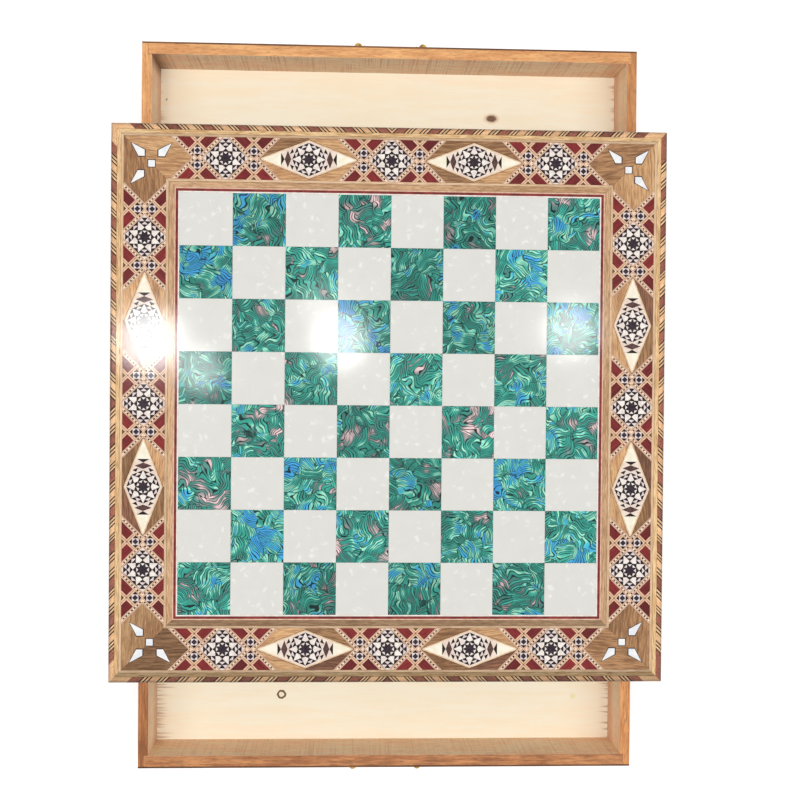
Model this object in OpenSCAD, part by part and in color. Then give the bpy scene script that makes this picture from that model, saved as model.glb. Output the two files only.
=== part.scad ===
// Chess box with two drawers: an inlaid chess board on a low wooden case.
// Origin: middle of the underside. +Z is up, and the drawers open along -Y (front) and +Y (rear).

/* [Playing field] */
// Pitch of the squares of the playing field
square_w = 37.8; // [34:0.1:42]
// Glue line between two neighbouring tiles
tile_gap = 0.1; // [0.05:0.01:0.3]
// Thickness of all the inlay glued on the top board
inlay_t = 1.6; // [1:0.1:3]

/* [Border strips] */
// Width of the rope banding round the rim
rope_w = 4.2; // [3:0.1:6]
// Height of the rope banding
rope_h = 6; // [5:0.1:8]
// How far the rope banding stands above the inlay
rope_proud = 0.4; // [0:0.1:0.8]
// Radius of the rope banding's outer edge
rope_round = 1.4; // [0.4:0.1:2.5]
// Width of the light wood strip inside the rope banding
edge_w = 3; // [2.4:0.1:8]
// Width of the pale line outside the mosaic band
outer_line_w = 1.9; // [0.4:0.1:2.6]
// Width of the mosaic band
band_w = 30; // [29.6:0.1:31.6]
// Width of the pale line inside the mosaic band
inner_line_w = 1.9; // [0.4:0.1:2.6]
// Width of the walnut strip round the field
walnut_w = 4.1; // [3:0.1:8]
// Width of the pale line inside the walnut strip
walnut_line_w = 0.9; // [0.4:0.1:1.4]
// Width of the red stringing round the field
red_line_w = 1.8; // [0.8:0.1:2.4]
// Width of the white line that meets the field
white_line_w = 1; // [0.3:0.1:1.6]
// Glue line in the mitres of the strips
mitre_gap = 0.1; // [0.05:0.01:0.2]

/* [Mosaic band] */
// Distance from the middle of a star to the crossing beside it
crossing_d = 20.1; // [19.6:0.1:21]
// Length from the last crossing to the middle of the corner
corner_len = 37; // [35:0.1:39]
// Width of the dotted strips that frame the stars and the lozenges
dotted_w = 3.4; // [3:0.1:3.8]
// How far the outer edge of a dotted strip passes the middle of a crossing, along the band
dotted_over = 0.7; // [0.4:0.1:1.2]
// Width of the small plain strips that cross
plain_w = 2.3; // [1.6:0.1:2.6]
// Distance from the edge of the band to the middle of the small plain crossing
plain_in = 3.65; // [3.2:0.05:4.1]
// Gap between a tip of a star in the band and the strip beside it
star_gap = 0.2; // [0.1:0.05:0.8]
// Radius at the waists of the stars
star_waist_r = 6.9; // [6:0.1:8]
// Radius at the inner corners of a star's kites
star_heart_r = 5.4; // [5.2:0.1:5.8]
// Radius at the tips of the small star inside a star
core_tip_r = 5.1; // [4:0.1:5.1]
// Radius at the waists of that small star
core_waist_r = 2.9; // [2:0.1:3.2]
// Angle of the glue line between two kites, in degrees
kite_gap = 0.5; // [0.3:0.1:1]
// Gap between the blunt corner of a lozenge and the edge of the band
lozenge_margin = 0.7; // [0.5:0.1:1.1]
// Half the height of a lozenge where its long edge meets the dotted strips
lozenge_blunt = 0.9; // [0.6:0.1:1.4]
// Gap between a slanted tip of a lozenge's star and the edge of the lozenge
lozenge_star_gap = 2.3; // [1.9:0.1:2.7]
// How far the dark panel of a lozenge reaches past the tips of its star
panel_margin = 0.3; // [0.2:0.1:0.5]
// Distance of the middle of a brown diamond from that panel
diamond_in = 2.7; // [2.6:0.1:2.8]
// Half the length of a brown diamond, along the lozenge
diamond_l = 2.3; // [1.8:0.1:2.3]
// Margin between a brown diamond and the edge of the lozenge
diamond_margin = 2.3; // [2:0.1:2.8]
// Distance of a dart's base from the panel
dart_in = 7.6; // [7.5:0.1:8.2]
// Length of a dart, towards the middle
dart_l = 2.3; // [1.6:0.1:2.3]
// Margin between a dart's corner and the edge of the lozenge
dart_margin = 2.2; // [1.8:0.1:2.6]

/* [Corner pearls] */
// Side of the small pearl square in each corner
pearl_w = 4.7; // [4:0.1:6]
// Distance of that square's middle from the band's outer corner, along each side
pearl_in = 20.6; // [19.5:0.1:21.5]
// Distance of a pearl kite's near corner from the square's middle, along each side
kite_near = 5; // [4.6:0.1:5.6]
// Distance of a kite's shoulders
kite_side = 9.3; // [8.4:0.1:10.4]
// Distance of a kite's tip
kite_tip = 14.3; // [12.6:0.1:15.6]

/* [Case] */
// Height of the case, from the table to the rim
box_h = 74; // [70:1:100]
// Thickness of the base panel
base_t = 5; // [4.5:0.5:8]
// Thickness of the two side panels
side_t = 16.4; // [12:0.1:20]
// Thickness of the veneer outside the case
veneer_t = 1.5; // [1:0.1:2.5]
// Thickness of the board under the inlay
top_t = 12; // [9:0.5:18]
// Height of the rail above each drawer
rail_h = 5.7; // [4:0.1:12]
// Depth of that rail
rail_d = 18; // [10:1:40]
// Thickness of the wall between the two drawers
divider_t = 8; // [6:0.5:15]
// Height of the banding round the foot of the case
banding_h = 4; // [2:0.5:4]

/* [Drawers] */
// How far the front drawer stands open
front_open = 68.4; // [10:0.1:120]
// How far the rear drawer stands open
rear_open = 64.1; // [10:0.1:120]
// Running gap on each side, below and above a drawer
run_gap = 0.3; // [0.2:0.05:1]
// How far a closed drawer's face lies behind the face of the case
face_inset = 0.8; // [0.3:0.1:3]
// Gap between a closed drawer and the middle wall
stop_gap = 0.4; // [0.3:0.1:3]
// Thickness of the drawer's front board
front_t = 8; // [7:0.5:14]
// Thickness of the veneer on the drawer's front
facing_t = 1; // [0.6:0.1:2]
// Thickness of the drawer's side boards
drawer_side_t = 7.5; // [6:0.5:12]
// Thickness of the drawer's back board
drawer_back_t = 7.5; // [6:0.5:12]
// Thickness of the drawer's bottom panel
bottom_t = 4; // [3:0.5:6]
// Height of that panel above the lower edge of the boards
bottom_rise = 1.9; // [1.5:0.1:6]
// Depth of the groove that holds the bottom panel
groove_d = 4; // [2:0.5:4.5]
// How far the front board laps into the side boards
lap = 3; // [1:0.5:4.5]

/* [Pulls] */
// Distance between the two posts of a pull
pull_spacing = 48.5; // [40:0.5:80]
// Height of the pivot above the drawer's lower edge
pull_z = 27; // [24:0.5:34]
// Radius of a post's ball
ball_r = 3; // [2.6:0.1:4]
// How far the ball reaches from the drawer's face
post_reach = 8; // [7.4:0.1:12]
// Radius of the neck of a post
neck_r = 1.9; // [1.5:0.1:2.4]
// Radius of the rosette at the foot of a post
rosette_r = 4.6; // [3.5:0.1:7]
// Thickness of the rosette
rosette_t = 0.9; // [0.6:0.1:1.5]
// Radius of the stem that holds the post in the drawer's front
stem_r = 1.2; // [0.8:0.1:1.6]
// Length of that stem
stem_len = 6; // [4:0.5:6.5]
// Clearance round the stem
stem_gap = 0.05; // [0.02:0.01:0.1]
// Radius of the bail's wire
wire_r = 1.2; // [0.9:0.1:1.4]
// Drop of the bail, from its pivot to the middle of its grip
bail_drop = 14; // [12:0.5:20]
// Radius of the bends of the bail
bend_r = 5; // [3:0.5:8]
// Radius of the bail's pivots
pivot_r = 0.8; // [0.6:0.05:0.85]
// Clearance round the pivots
pivot_gap = 0.08; // [0.03:0.01:0.1]
// Gap between a bail's arm and the ball beside it
arm_gap = 0.4; // [0.3:0.05:1]

/* [Hidden] */
$fn = 48;
cut = 1; // how far a cutting shape reaches past what it cuts
squares = 8; // squares along one side of the field
star_tips = 8;
half_step = 180 / star_tips; // angle from a star's tip to the waist beside it

// The border from the field outwards, as half widths of the squares that the strips make
field_h = squares * square_w / 2;
white_line_h = field_h + white_line_w;
red_line_h = white_line_h + red_line_w;
walnut_line_h = red_line_h + walnut_line_w;
walnut_h = walnut_line_h + walnut_w;
inner_line_h = walnut_h + inner_line_w;
band_h = inner_line_h + band_w;
outer_line_h = band_h + outer_line_w;
edge_h = outer_line_h + edge_w;
case_h = edge_h + rope_w; // half the width of the whole case

// Levels of the case
board_z = box_h - rope_proud - inlay_t; // top of the board under the inlay
roof_z = board_z - top_t; // underside of that board
rail_z = roof_z - rail_h; // underside of the rails
rope_z = box_h - rope_h; // underside of the rope banding
core_h = case_h - veneer_t; // half width inside the veneer
bay_h = core_h - side_t; // half width of the drawers' bays

// The mosaic band
band_mid = inner_line_h + band_w / 2;
half_band = band_w / 2;
inner_q = sqrt(2) * dotted_w - dotted_over; // from a crossing's middle to the strips' inner edge
plain_q = plain_w / sqrt(2); // half a plain strip, measured along the band
plain_y = half_band - plain_in; // from a crossing to the small plain crossing above it
star_pitch = band_mid - corner_len - crossing_d;
last_crossing = star_pitch + crossing_d;
panel_r = crossing_d - inner_q; // half diagonal of a star's panel
star_tip_r = (panel_r - sqrt(2) * star_gap) / (cos(half_step) + sin(half_step)); // a star's tips
lozenge_l = star_pitch / 2 - crossing_d - inner_q; // half the length of a lozenge
lozenge_w = half_band - lozenge_margin; // half the width of a lozenge
lozenge_slope = (lozenge_w - lozenge_blunt) / (lozenge_l - lozenge_blunt); // of its long edges
lozenge_star_r = sqrt(2) * (lozenge_w - lozenge_star_gap * norm([1, lozenge_slope]))
  / (1 + lozenge_slope); // radius at the tips of the star in a lozenge
lozenge_panel_l = lozenge_star_r + panel_margin; // half the length of the dark panel
pearl_h = band_h - pearl_in; // place of the pearl squares

// The drawers, in the front drawer's own place
face_y = -(case_h - face_inset + front_open);
back_y = face_y + (case_h - face_inset) - divider_t / 2 - stop_gap;
front_y = face_y + facing_t; // outside of the front board
inside_y = front_y + front_t; // inside of the front board
back_in_y = back_y - drawer_back_t; // inside of the back board
drawer_z = base_t + run_gap;
drawer_top_z = rail_z - run_gap;
drawer_tall = drawer_top_z - drawer_z;
drawer_h = bay_h - run_gap; // half the drawer's width
drawer_in_h = drawer_h - drawer_side_t;
front_h = drawer_in_h + lap; // half the width of the front board
bottom_z = drawer_z + bottom_rise;

// The pulls, on the front drawer
pivot_z = drawer_z + pull_z;
pivot_y = face_y - (post_reach - ball_r);
post_x = pull_spacing / 2;
arm_x = post_x - ball_r - arm_gap - wire_r;
pivot_end_x = post_x + ball_r / 2;

pearl_col = "#f2f1ea";
abalone_col = "#2a8f78";
walnut_col = "#9a7048";
walnut_dark_col = "#7a5433";
light_col = "#c9a26c";
cream_col = "#f0d6aa";
red_col = "#8a2f2c";
ebony_col = "#3a2c28";
bone_col = "#efe6d6";
drawer_col = "#cd8b52";
pine_col = "#f3dfbd";
brass_col = "#b08d3c";
core_col = "#b98f62";

// ---- helpers ----

// A block between two corners
module block(low, high) {
  translate(low) cube(high - low);
}

// A flat piece of inlay on the top board
module inlay(points) {
  translate([0, 0, board_z]) linear_extrude(inlay_t) polygon(points);
}

// The same outline, long enough to cut through the inlay
module inlay_cut(points) {
  translate([0, 0, board_z - cut]) linear_extrude(inlay_t + 2 * cut) polygon(points);
}

// A square frame of inlay between two half widths
module inlay_ring(inner, outer) {
  translate([0, 0, board_z]) linear_extrude(inlay_t) difference() {
    square(2 * outer, center = true);
    square(2 * inner, center = true);
  }
}

// The outline of one mitred strip along the front, between two half widths
function strip_points(inner, outer) = [
  [-outer + mitre_gap, -outer],
  [outer - mitre_gap, -outer],
  [inner - mitre_gap, -inner],
  [-inner + mitre_gap, -inner]
];

// Repeats what lies along the front on all four sides
module each_side() {
  for (turn = [0:90:270]) rotate(turn) children();
}

// Places a piece at each star, lozenge or crossing of the band
module each_star() {
  each_side() for (i = [-1:1]) translate([i * star_pitch, -band_mid, 0]) children();
}

module each_lozenge() {
  each_side() for (i = [-0.5, 0.5]) translate([i * star_pitch, -band_mid, 0]) children();
}

module each_crossing() {
  each_star() for (i = [-1, 1]) translate([i * crossing_d, 0, 0]) children();
}

// Repeats a piece on both sides of the band's middle line
module both_edges() {
  children();
  mirror([0, 1, 0]) children();
}

// A point at a radius and an angle
function polar(r, angle) = r * [cos(angle), sin(angle)];

// A small eight-pointed star, its first tip at the angle start
function core_points(start) = [
  for (i = [0:star_tips - 1]) each [
    polar(core_tip_r, start + 2 * half_step * i),
    polar(core_waist_r, start + 2 * half_step * i + half_step)
  ]
];

// One kite of a big star, its tip at the angle a
function kite_points(tip_r, a) = [
  polar(tip_r, a),
  polar(star_waist_r, a + half_step - kite_gap / 2),
  polar(star_heart_r, a),
  polar(star_waist_r, a - half_step + kite_gap / 2)
];

// Turns what is drawn for the front of the case to its rear
module to_rear() {
  rotate(180) children();
}

// Moves what is drawn for the front drawer to the rear one, which stands open by its own distance
module to_rear_drawer() {
  to_rear() translate([0, front_open - rear_open, 0]) children();
}

// ---- the case ----

module base_panel() {
  color(core_col) block([-core_h, -core_h, 0], [core_h, core_h, base_t]);
}

module side_panel() {
  color(core_col) block([bay_h, -core_h, base_t], [core_h, core_h, roof_z]);
}

module side_right() {
  side_panel();
}

module side_left() {
  rotate(180) side_panel();
}

module center_divider() {
  color(core_col) block([-bay_h, -divider_t / 2, base_t], [bay_h, divider_t / 2, roof_z]);
}

module rail_front() {
  color(core_col) block([-bay_h, -core_h, rail_z], [bay_h, -core_h + rail_d, roof_z]);
}

module rail_rear() {
  to_rear() rail_front();
}

// The board is stepped at its edge, so that the rope banding sits in the step
module top_board() {
  color(core_col) {
    block([-core_h, -core_h, roof_z], [core_h, core_h, rope_z]);
    block([-edge_h, -edge_h, roof_z], [edge_h, edge_h, board_z]);
  }
}

module veneer_right() {
  color(walnut_col) block([core_h, -core_h, banding_h], [case_h, core_h, rope_z]);
}

module veneer_left() {
  rotate(180) veneer_right();
}

module veneer_front() {
  color(walnut_col) difference() {
    block([-case_h, -case_h, banding_h], [case_h, -core_h, rope_z]);
    block([-bay_h, -case_h - cut, base_t], [bay_h, -core_h + cut, rail_z]);
  }
}

module veneer_rear() {
  to_rear() veneer_front();
}

module foot_banding() {
  color(light_col) linear_extrude(banding_h) difference() {
    square(2 * case_h, center = true);
    square(2 * core_h, center = true);
  }
}

// The section of the rope banding, with its outer edge rounded
module rope_section() {
  difference() {
    square([rope_w, rope_h]);
    difference() {
      translate([-cut, rope_h - rope_round]) square([rope_round + cut, rope_round + cut]);
      translate([rope_round, rope_h - rope_round]) circle(rope_round);
    }
  }
}

module rope_front() {
  color(light_col) intersection() {
    translate([0, 0, rope_z - cut]) linear_extrude(rope_h + 2 * cut) polygon(strip_points(edge_h, case_h));
    translate([-case_h, -case_h, rope_z]) rotate([90, 0, 90]) linear_extrude(2 * case_h) rope_section();
  }
}

module rope_rear() {
  rotate(180) rope_front();
}

module rope_right() {
  rotate(90) rope_front();
}

module rope_left() {
  rotate(270) rope_front();
}

// ---- the strips of the border ----

module edge_strips() {
  color(light_col) each_side() inlay(strip_points(outer_line_h, edge_h));
}

module outer_line() {
  color(cream_col) inlay_ring(band_h, outer_line_h);
}

module inner_line() {
  color(cream_col) inlay_ring(walnut_h, inner_line_h);
}

module walnut_strips() {
  color(walnut_col) each_side() inlay(strip_points(walnut_line_h, walnut_h));
}

module walnut_line() {
  color(cream_col) inlay_ring(red_line_h, walnut_line_h);
}

module red_stringing() {
  color(red_col) inlay_ring(white_line_h, red_line_h);
}

module white_line() {
  color(bone_col) inlay_ring(field_h, white_line_h);
}

// ---- the corners of the band ----

// A pearl kite that points along [1, 1]
module kite_outline() {
  polygon([[kite_near, kite_near], [kite_side, kite_near], [kite_tip, kite_tip], [kite_near, kite_side]]);
}

// The pearl square of the front right corner and its three kites: none points at the field
module pearl_outlines() {
  translate([pearl_h, -pearl_h]) {
    square(pearl_w, center = true);
    for (turn = [0, 180, 270]) rotate(turn) kite_outline();
  }
}

module corner_pearls() {
  color(pearl_col) each_side() translate([0, 0, board_z]) linear_extrude(inlay_t) pearl_outlines();
}

// The block at the right end of the front band, mitred at the corner
corner_points = [
  [last_crossing + inner_q, -band_mid],
  [last_crossing + inner_q + half_band, -band_h],
  [band_h, -band_h],
  [inner_line_h, -inner_line_h],
  [last_crossing + inner_q + half_band, -inner_line_h]
];

module corner_block_pair() {
  color(walnut_col) difference() {
    union() {
      inlay(corner_points);
      mirror([1, 0, 0]) inlay(corner_points);
    }
    for (turn = [0, 270]) rotate(turn) {
      translate([0, 0, board_z - cut]) linear_extrude(inlay_t + 2 * cut) pearl_outlines();
    }
  }
}

module corner_blocks_front_rear() {
  for (turn = [0, 180]) rotate(turn) corner_block_pair();
}

module corner_blocks_left_right() {
  for (turn = [90, 270]) rotate(turn) corner_block_pair();
}

// ---- the crossings of the band ----

// Two dotted strips that cross, cut off at the edges of the band
crossing_points = [
  [0, dotted_over], [half_band - dotted_over, half_band], [half_band + inner_q, half_band],
  [inner_q, 0], [half_band + inner_q, -half_band], [half_band - dotted_over, -half_band],
  [0, -dotted_over], [-half_band + dotted_over, -half_band], [-half_band - inner_q, -half_band],
  [-inner_q, 0], [-half_band - inner_q, half_band], [-half_band + dotted_over, half_band]
];

// Heights of the small plain crossing's notches, and half the width of what it leaves at the edge
notch_top = plain_y + plain_q;
notch_low = plain_y - plain_q;
leg_top = [notch_top - dotted_over, notch_top + dotted_over] / 2;
leg_low = [notch_low - dotted_over, notch_low + dotted_over] / 2;

function flip(p) = [-p[0], p[1]];

plain_points = [
  [0, notch_top], [half_band - notch_top, half_band], [half_band - notch_low, half_band],
  [plain_q, plain_y], leg_top, leg_low, [0, notch_low], flip(leg_low), flip(leg_top),
  [-plain_q, plain_y], [notch_low - half_band, half_band], [notch_top - half_band, half_band]
];

module dotted_strips() {
  color(cream_col) each_crossing() inlay(crossing_points);
}

module plain_strips() {
  color(cream_col) each_crossing() both_edges() inlay(plain_points);
}

// The triangles at the edge of the band, and the darts in the ends of the lozenges
module dark_triangles() {
  color(ebony_col) {
    each_crossing() both_edges()
      inlay([[0, notch_top], [half_band - notch_top, half_band], [notch_top - half_band, half_band]]);
    each_lozenge() both_ends() inlay(dart_points);
  }
}

module red_inlays() {
  color(red_col) each_crossing() both_edges() for (side = [0, 1]) mirror([side, 0, 0])
    inlay([
      [plain_q, plain_y], [half_band - notch_low, half_band],
      [half_band - dotted_over, half_band], leg_top
    ]);
}

module eye_diamonds() {
  color(ebony_col) each_crossing() both_edges()
    inlay([[0, dotted_over], leg_low, [0, notch_low], flip(leg_low)]);
}

// ---- the stars and the lozenges ----

panel_points = [
  [panel_r, 0], [panel_r - half_band, half_band], [half_band - panel_r, half_band],
  [-panel_r, 0], [half_band - panel_r, -half_band], [panel_r - half_band, -half_band]
];

// Half the width of a lozenge at the distance x from its middle
function lozenge_at(x) = lozenge_w - lozenge_slope * x;

// The eight kites of a star, as inlay or as the holes that take them
module star_kites(tip_r, start) {
  for (i = [0:star_tips - 1]) inlay(kite_points(tip_r, start + 2 * half_step * i));
}

module star_holes(tip_r, start) {
  for (i = [0:star_tips - 1]) inlay_cut(kite_points(tip_r, start + 2 * half_step * i));
  inlay_cut(core_points(start));
}

module star_panels() {
  color(ebony_col) each_star() difference() {
    inlay(panel_points);
    star_holes(star_tip_r, half_step);
  }
}

module band_stars() {
  color(bone_col) each_star() star_kites(star_tip_r, half_step);
}

module lozenge_panels() {
  panel_w = lozenge_at(lozenge_panel_l);
  color(ebony_col) each_lozenge() difference() {
    inlay([
      [lozenge_panel_l, -panel_w], [lozenge_panel_l, panel_w], [0, lozenge_w],
      [-lozenge_panel_l, panel_w], [-lozenge_panel_l, -panel_w], [0, -lozenge_w]
    ]);
    star_holes(lozenge_star_r, 0);
  }
}

module lozenge_stars() {
  color(bone_col) each_lozenge() star_kites(lozenge_star_r, 0);
}

module star_cores() {
  color(ebony_col) {
    each_star() inlay(core_points(half_step));
    each_lozenge() inlay(core_points(0));
  }
}

diamond_x = lozenge_panel_l + diamond_in;
diamond_w = lozenge_at(diamond_x) - diamond_margin;
diamond_points = [
  [diamond_x - diamond_l, 0], [diamond_x, diamond_w], [diamond_x + diamond_l, 0], [diamond_x, -diamond_w]
];
dart_x = lozenge_panel_l + dart_in;
dart_w = lozenge_at(dart_x) - dart_margin;
dart_points = [[dart_x - dart_l, 0], [dart_x, dart_w], [dart_x, -dart_w]];

module both_ends() {
  for (turn = [0, 180]) rotate(turn) children();
}

module lozenge_ends() {
  panel_w = lozenge_at(lozenge_panel_l);
  color(bone_col) each_lozenge() both_ends() difference() {
    inlay([
      [lozenge_panel_l, -panel_w], [lozenge_panel_l, panel_w],
      [lozenge_l - lozenge_blunt, lozenge_blunt], [lozenge_l, 0], [lozenge_l - lozenge_blunt, -lozenge_blunt]
    ]);
    inlay_cut(diamond_points);
    inlay_cut(dart_points);
  }
}

module lozenge_diamonds() {
  color(walnut_dark_col) each_lozenge() both_ends() inlay(diamond_points);
}

// One of the four pieces of ground round a lozenge
ground_points = [
  [lozenge_blunt - lozenge_l, lozenge_blunt], [0, lozenge_w],
  [0, half_band], [half_band - lozenge_l, half_band]
];

module ground_light() {
  color(walnut_col) each_lozenge() for (turn = [0, 180]) rotate(turn) inlay(ground_points);
}

module ground_dark() {
  color(walnut_dark_col) each_lozenge() for (turn = [0, 180])
    rotate(turn) mirror([1, 0, 0]) inlay(ground_points);
}

// ---- the playing field ----

// Tiles of one colour: parity 0 holds the front left corner
module field_tiles(parity) {
  tile_w = square_w - tile_gap;
  first = tile_gap / 2 - field_h; // the near corner of the first tile
  for (i = [0:squares - 1]) for (j = [0:squares - 1]) if ((i + j) % 2 == parity)
    translate([first + i * square_w, first + j * square_w, board_z]) cube([tile_w, tile_w, inlay_t]);
}

module pearl_tiles() {
  color(pearl_col) field_tiles(1);
}

module abalone_tiles() {
  color(abalone_col) field_tiles(0);
}

// ---- the drawers ----

module bottom_shape() {
  block(
    [-drawer_in_h - groove_d, inside_y - groove_d, bottom_z],
    [drawer_in_h + groove_d, back_in_y + groove_d, bottom_z + bottom_t]
  );
}

// The holes for the stems of the two posts
module stem_holes() {
  for (x = [-post_x, post_x]) translate([x, face_y - cut, pivot_z]) rotate([-90, 0, 0])
    cylinder(r = stem_r + stem_gap, h = stem_len + cut + stem_gap);
}

module front_drawer_facing() {
  color(walnut_dark_col) difference() {
    block([-drawer_h, face_y, drawer_z], [drawer_h, front_y, drawer_top_z]);
    stem_holes();
  }
}

// The front board laps into the side boards, which run on to the facing
module front_drawer_front() {
  color(drawer_col) difference() {
    block([-front_h, front_y, drawer_z], [front_h, inside_y, drawer_top_z]);
    bottom_shape();
    stem_holes();
  }
}

module drawer_side() {
  difference() {
    block([drawer_in_h, front_y, drawer_z], [drawer_h, back_y, drawer_top_z]);
    block([drawer_in_h - cut, front_y - cut, drawer_z - cut], [front_h, inside_y, drawer_top_z + cut]);
    bottom_shape();
  }
}

module front_drawer_right() {
  color(drawer_col) drawer_side();
}

module front_drawer_left() {
  color(drawer_col) mirror([1, 0, 0]) drawer_side();
}

module front_drawer_back() {
  color(drawer_col) difference() {
    block([-drawer_in_h, back_in_y, drawer_z], [drawer_in_h, back_y, drawer_top_z]);
    bottom_shape();
  }
}

module front_drawer_bottom() {
  color(pine_col) bottom_shape();
}

// ---- the pulls ----

// A post stands on the drawer's face: stem, rosette, neck and a bored ball
module post() {
  rotate([90, 0, 0]) difference() {
    union() {
      translate([0, 0, -stem_len]) cylinder(r = stem_r, h = stem_len + rosette_t);
      cylinder(r = rosette_r, h = rosette_t);
      cylinder(r = neck_r, h = post_reach - ball_r);
      translate([0, 0, post_reach - ball_r]) sphere(ball_r);
    }
    translate([-ball_r - cut, 0, post_reach - ball_r]) rotate([0, 90, 0])
      cylinder(r = pivot_r + pivot_gap, h = 2 * (ball_r + cut));
  }
}

module front_pull_posts() {
  color(brass_col) for (x = [-post_x, post_x]) translate([x, face_y, pivot_z]) post();
}

// Half of the bail: pivot, arm, bend and half of the grip
module half_bail() {
  translate([arm_x, 0, 0]) rotate([0, 90, 0]) cylinder(r = pivot_r, h = pivot_end_x - arm_x);
  translate([arm_x, 0, 0]) sphere(wire_r);
  translate([arm_x, 0, bend_r - bail_drop]) cylinder(r = wire_r, h = bail_drop - bend_r);
  translate([arm_x - bend_r, 0, bend_r - bail_drop]) rotate([90, 0, 0])
    rotate_extrude(angle = -90) translate([bend_r, 0]) circle(wire_r);
  translate([0, 0, -bail_drop]) rotate([0, 90, 0]) cylinder(r = wire_r, h = arm_x - bend_r);
}

module front_bail() {
  color(brass_col) translate([0, pivot_y, pivot_z]) {
    half_bail();
    mirror([1, 0, 0]) half_bail();
  }
}

module rear_drawer_facing() {
  to_rear_drawer() front_drawer_facing();
}

module rear_drawer_front() {
  to_rear_drawer() front_drawer_front();
}

// Seen from the front, as every name here is, the rear drawer's right board is at +X
module rear_drawer_right() {
  to_rear_drawer() front_drawer_left();
}

module rear_drawer_left() {
  to_rear_drawer() front_drawer_right();
}

module rear_drawer_back() {
  to_rear_drawer() front_drawer_back();
}

module rear_drawer_bottom() {
  to_rear_drawer() front_drawer_bottom();
}

module rear_pull_posts() {
  to_rear_drawer() front_pull_posts();
}

module rear_bail() {
  to_rear_drawer() front_bail();
}

base_panel();
side_left();
side_right();
center_divider();
rail_front();
rail_rear();
top_board();
veneer_left();
veneer_right();
veneer_front();
veneer_rear();
foot_banding();
rope_front();
rope_rear();
rope_left();
rope_right();
edge_strips();
outer_line();
inner_line();
walnut_strips();
walnut_line();
red_stringing();
white_line();
corner_blocks_front_rear();
corner_blocks_left_right();
corner_pearls();
dotted_strips();
plain_strips();
dark_triangles();
red_inlays();
eye_diamonds();
star_panels();
band_stars();
star_cores();
lozenge_panels();
lozenge_ends();
lozenge_diamonds();
lozenge_stars();
ground_light();
ground_dark();
pearl_tiles();
abalone_tiles();
front_drawer_facing();
front_drawer_front();
front_drawer_left();
front_drawer_right();
front_drawer_back();
front_drawer_bottom();
front_pull_posts();
front_bail();
rear_drawer_facing();
rear_drawer_front();
rear_drawer_left();
rear_drawer_right();
rear_drawer_back();
rear_drawer_bottom();
rear_pull_posts();
rear_bail();
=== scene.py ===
# %% [markdown]
# # An inlaid chess box with two drawers
# This lesson dresses a finished CAD model. The case, the drawers and their pulls come in as a fixed
# frame, in metres, with the origin in the middle of the underside. Here they get their woods, their
# shell, their lacquer and the small pieces of the mosaic that are too fine for the CAD model.

# %% Load the frame
import math
import random

import bmesh
import bpy
from mathutils import Matrix, Vector


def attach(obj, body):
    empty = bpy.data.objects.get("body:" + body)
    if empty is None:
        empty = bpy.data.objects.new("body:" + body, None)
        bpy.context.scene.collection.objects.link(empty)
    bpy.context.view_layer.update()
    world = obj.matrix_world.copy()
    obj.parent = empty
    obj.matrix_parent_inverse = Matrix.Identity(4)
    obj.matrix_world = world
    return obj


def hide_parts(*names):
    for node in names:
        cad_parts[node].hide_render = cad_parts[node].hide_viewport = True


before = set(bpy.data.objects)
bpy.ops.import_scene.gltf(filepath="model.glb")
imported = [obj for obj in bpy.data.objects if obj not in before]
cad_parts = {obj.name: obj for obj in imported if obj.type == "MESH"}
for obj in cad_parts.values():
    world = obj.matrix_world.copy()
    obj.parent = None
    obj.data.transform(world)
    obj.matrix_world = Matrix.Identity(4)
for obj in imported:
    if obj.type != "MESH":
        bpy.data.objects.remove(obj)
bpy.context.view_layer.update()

# %% [markdown]
# ## Sizes
# A craftsman works in millimetres, so the sizes below are in millimetres too, and one factor turns
# them into Blender's metres. The border is listed as half widths, from the field out to the rim,
# because every strip is a square frame round the same middle.

# %% Sizes of the top
MM = 0.001
SQUARE, WALNUT_IN, WALNUT_OUT = 37.8, 154.9, 159.0
BAND_IN, BAND_OUT, EDGE_IN, EDGE_OUT, CASE = 160.9, 190.9, 192.8, 195.8, 200.0
RIM_Z, INLAY_Z, BOARD_Z, ROPE_Z = 74.0, 73.6, 72.0, 68.0
BAND_MID, HALF_BAND = (BAND_IN + BAND_OUT) / 2, (BAND_OUT - BAND_IN) / 2
STAR_PITCH, CROSSING = 118.8, 20.1
STRIP_WIDE, STRIP_OVER = 3.4, 0.7
STRIP_IN = STRIP_WIDE * math.sqrt(2) - STRIP_OVER
# Panels and beds lie under other pieces, each a little lower, so that no two faces share a height.
PANEL_Z, BED_Z = INLAY_Z - 0.04, INLAY_Z - 0.02
print("band:", 2 * HALF_BAND, "mm wide, its middle line at", BAND_MID, "mm")

# %% Sizes of the drawers
DRAWER_HALF, DRAWER_IN, LIP = 181.8, 174.3, 177.3
DRAWER_LOW, DRAWER_TOP = 5.3, 54.0
DRAWER_FACE = {"front": 267.6, "rear": 263.3}
FACING, FRONT_INSIDE, BACK_INSIDE, BACK_OUTSIDE = 1.0, 9.0, 187.3, 194.8
print("a drawer is", 2 * DRAWER_HALF, "mm wide and", DRAWER_TOP - DRAWER_LOW, "mm tall")

# %% [markdown]
# ## Wires
# Every finish here is drawn by nodes, so that it stays sharp at any distance. A node tree is a
# calculation, so the class below lets Python write it as one: a wire is the output of a node, and
# adding or multiplying wires adds the math nodes that do so. A wire knows the tree that it lies in,
# so no recipe has to pass the tree along.

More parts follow.
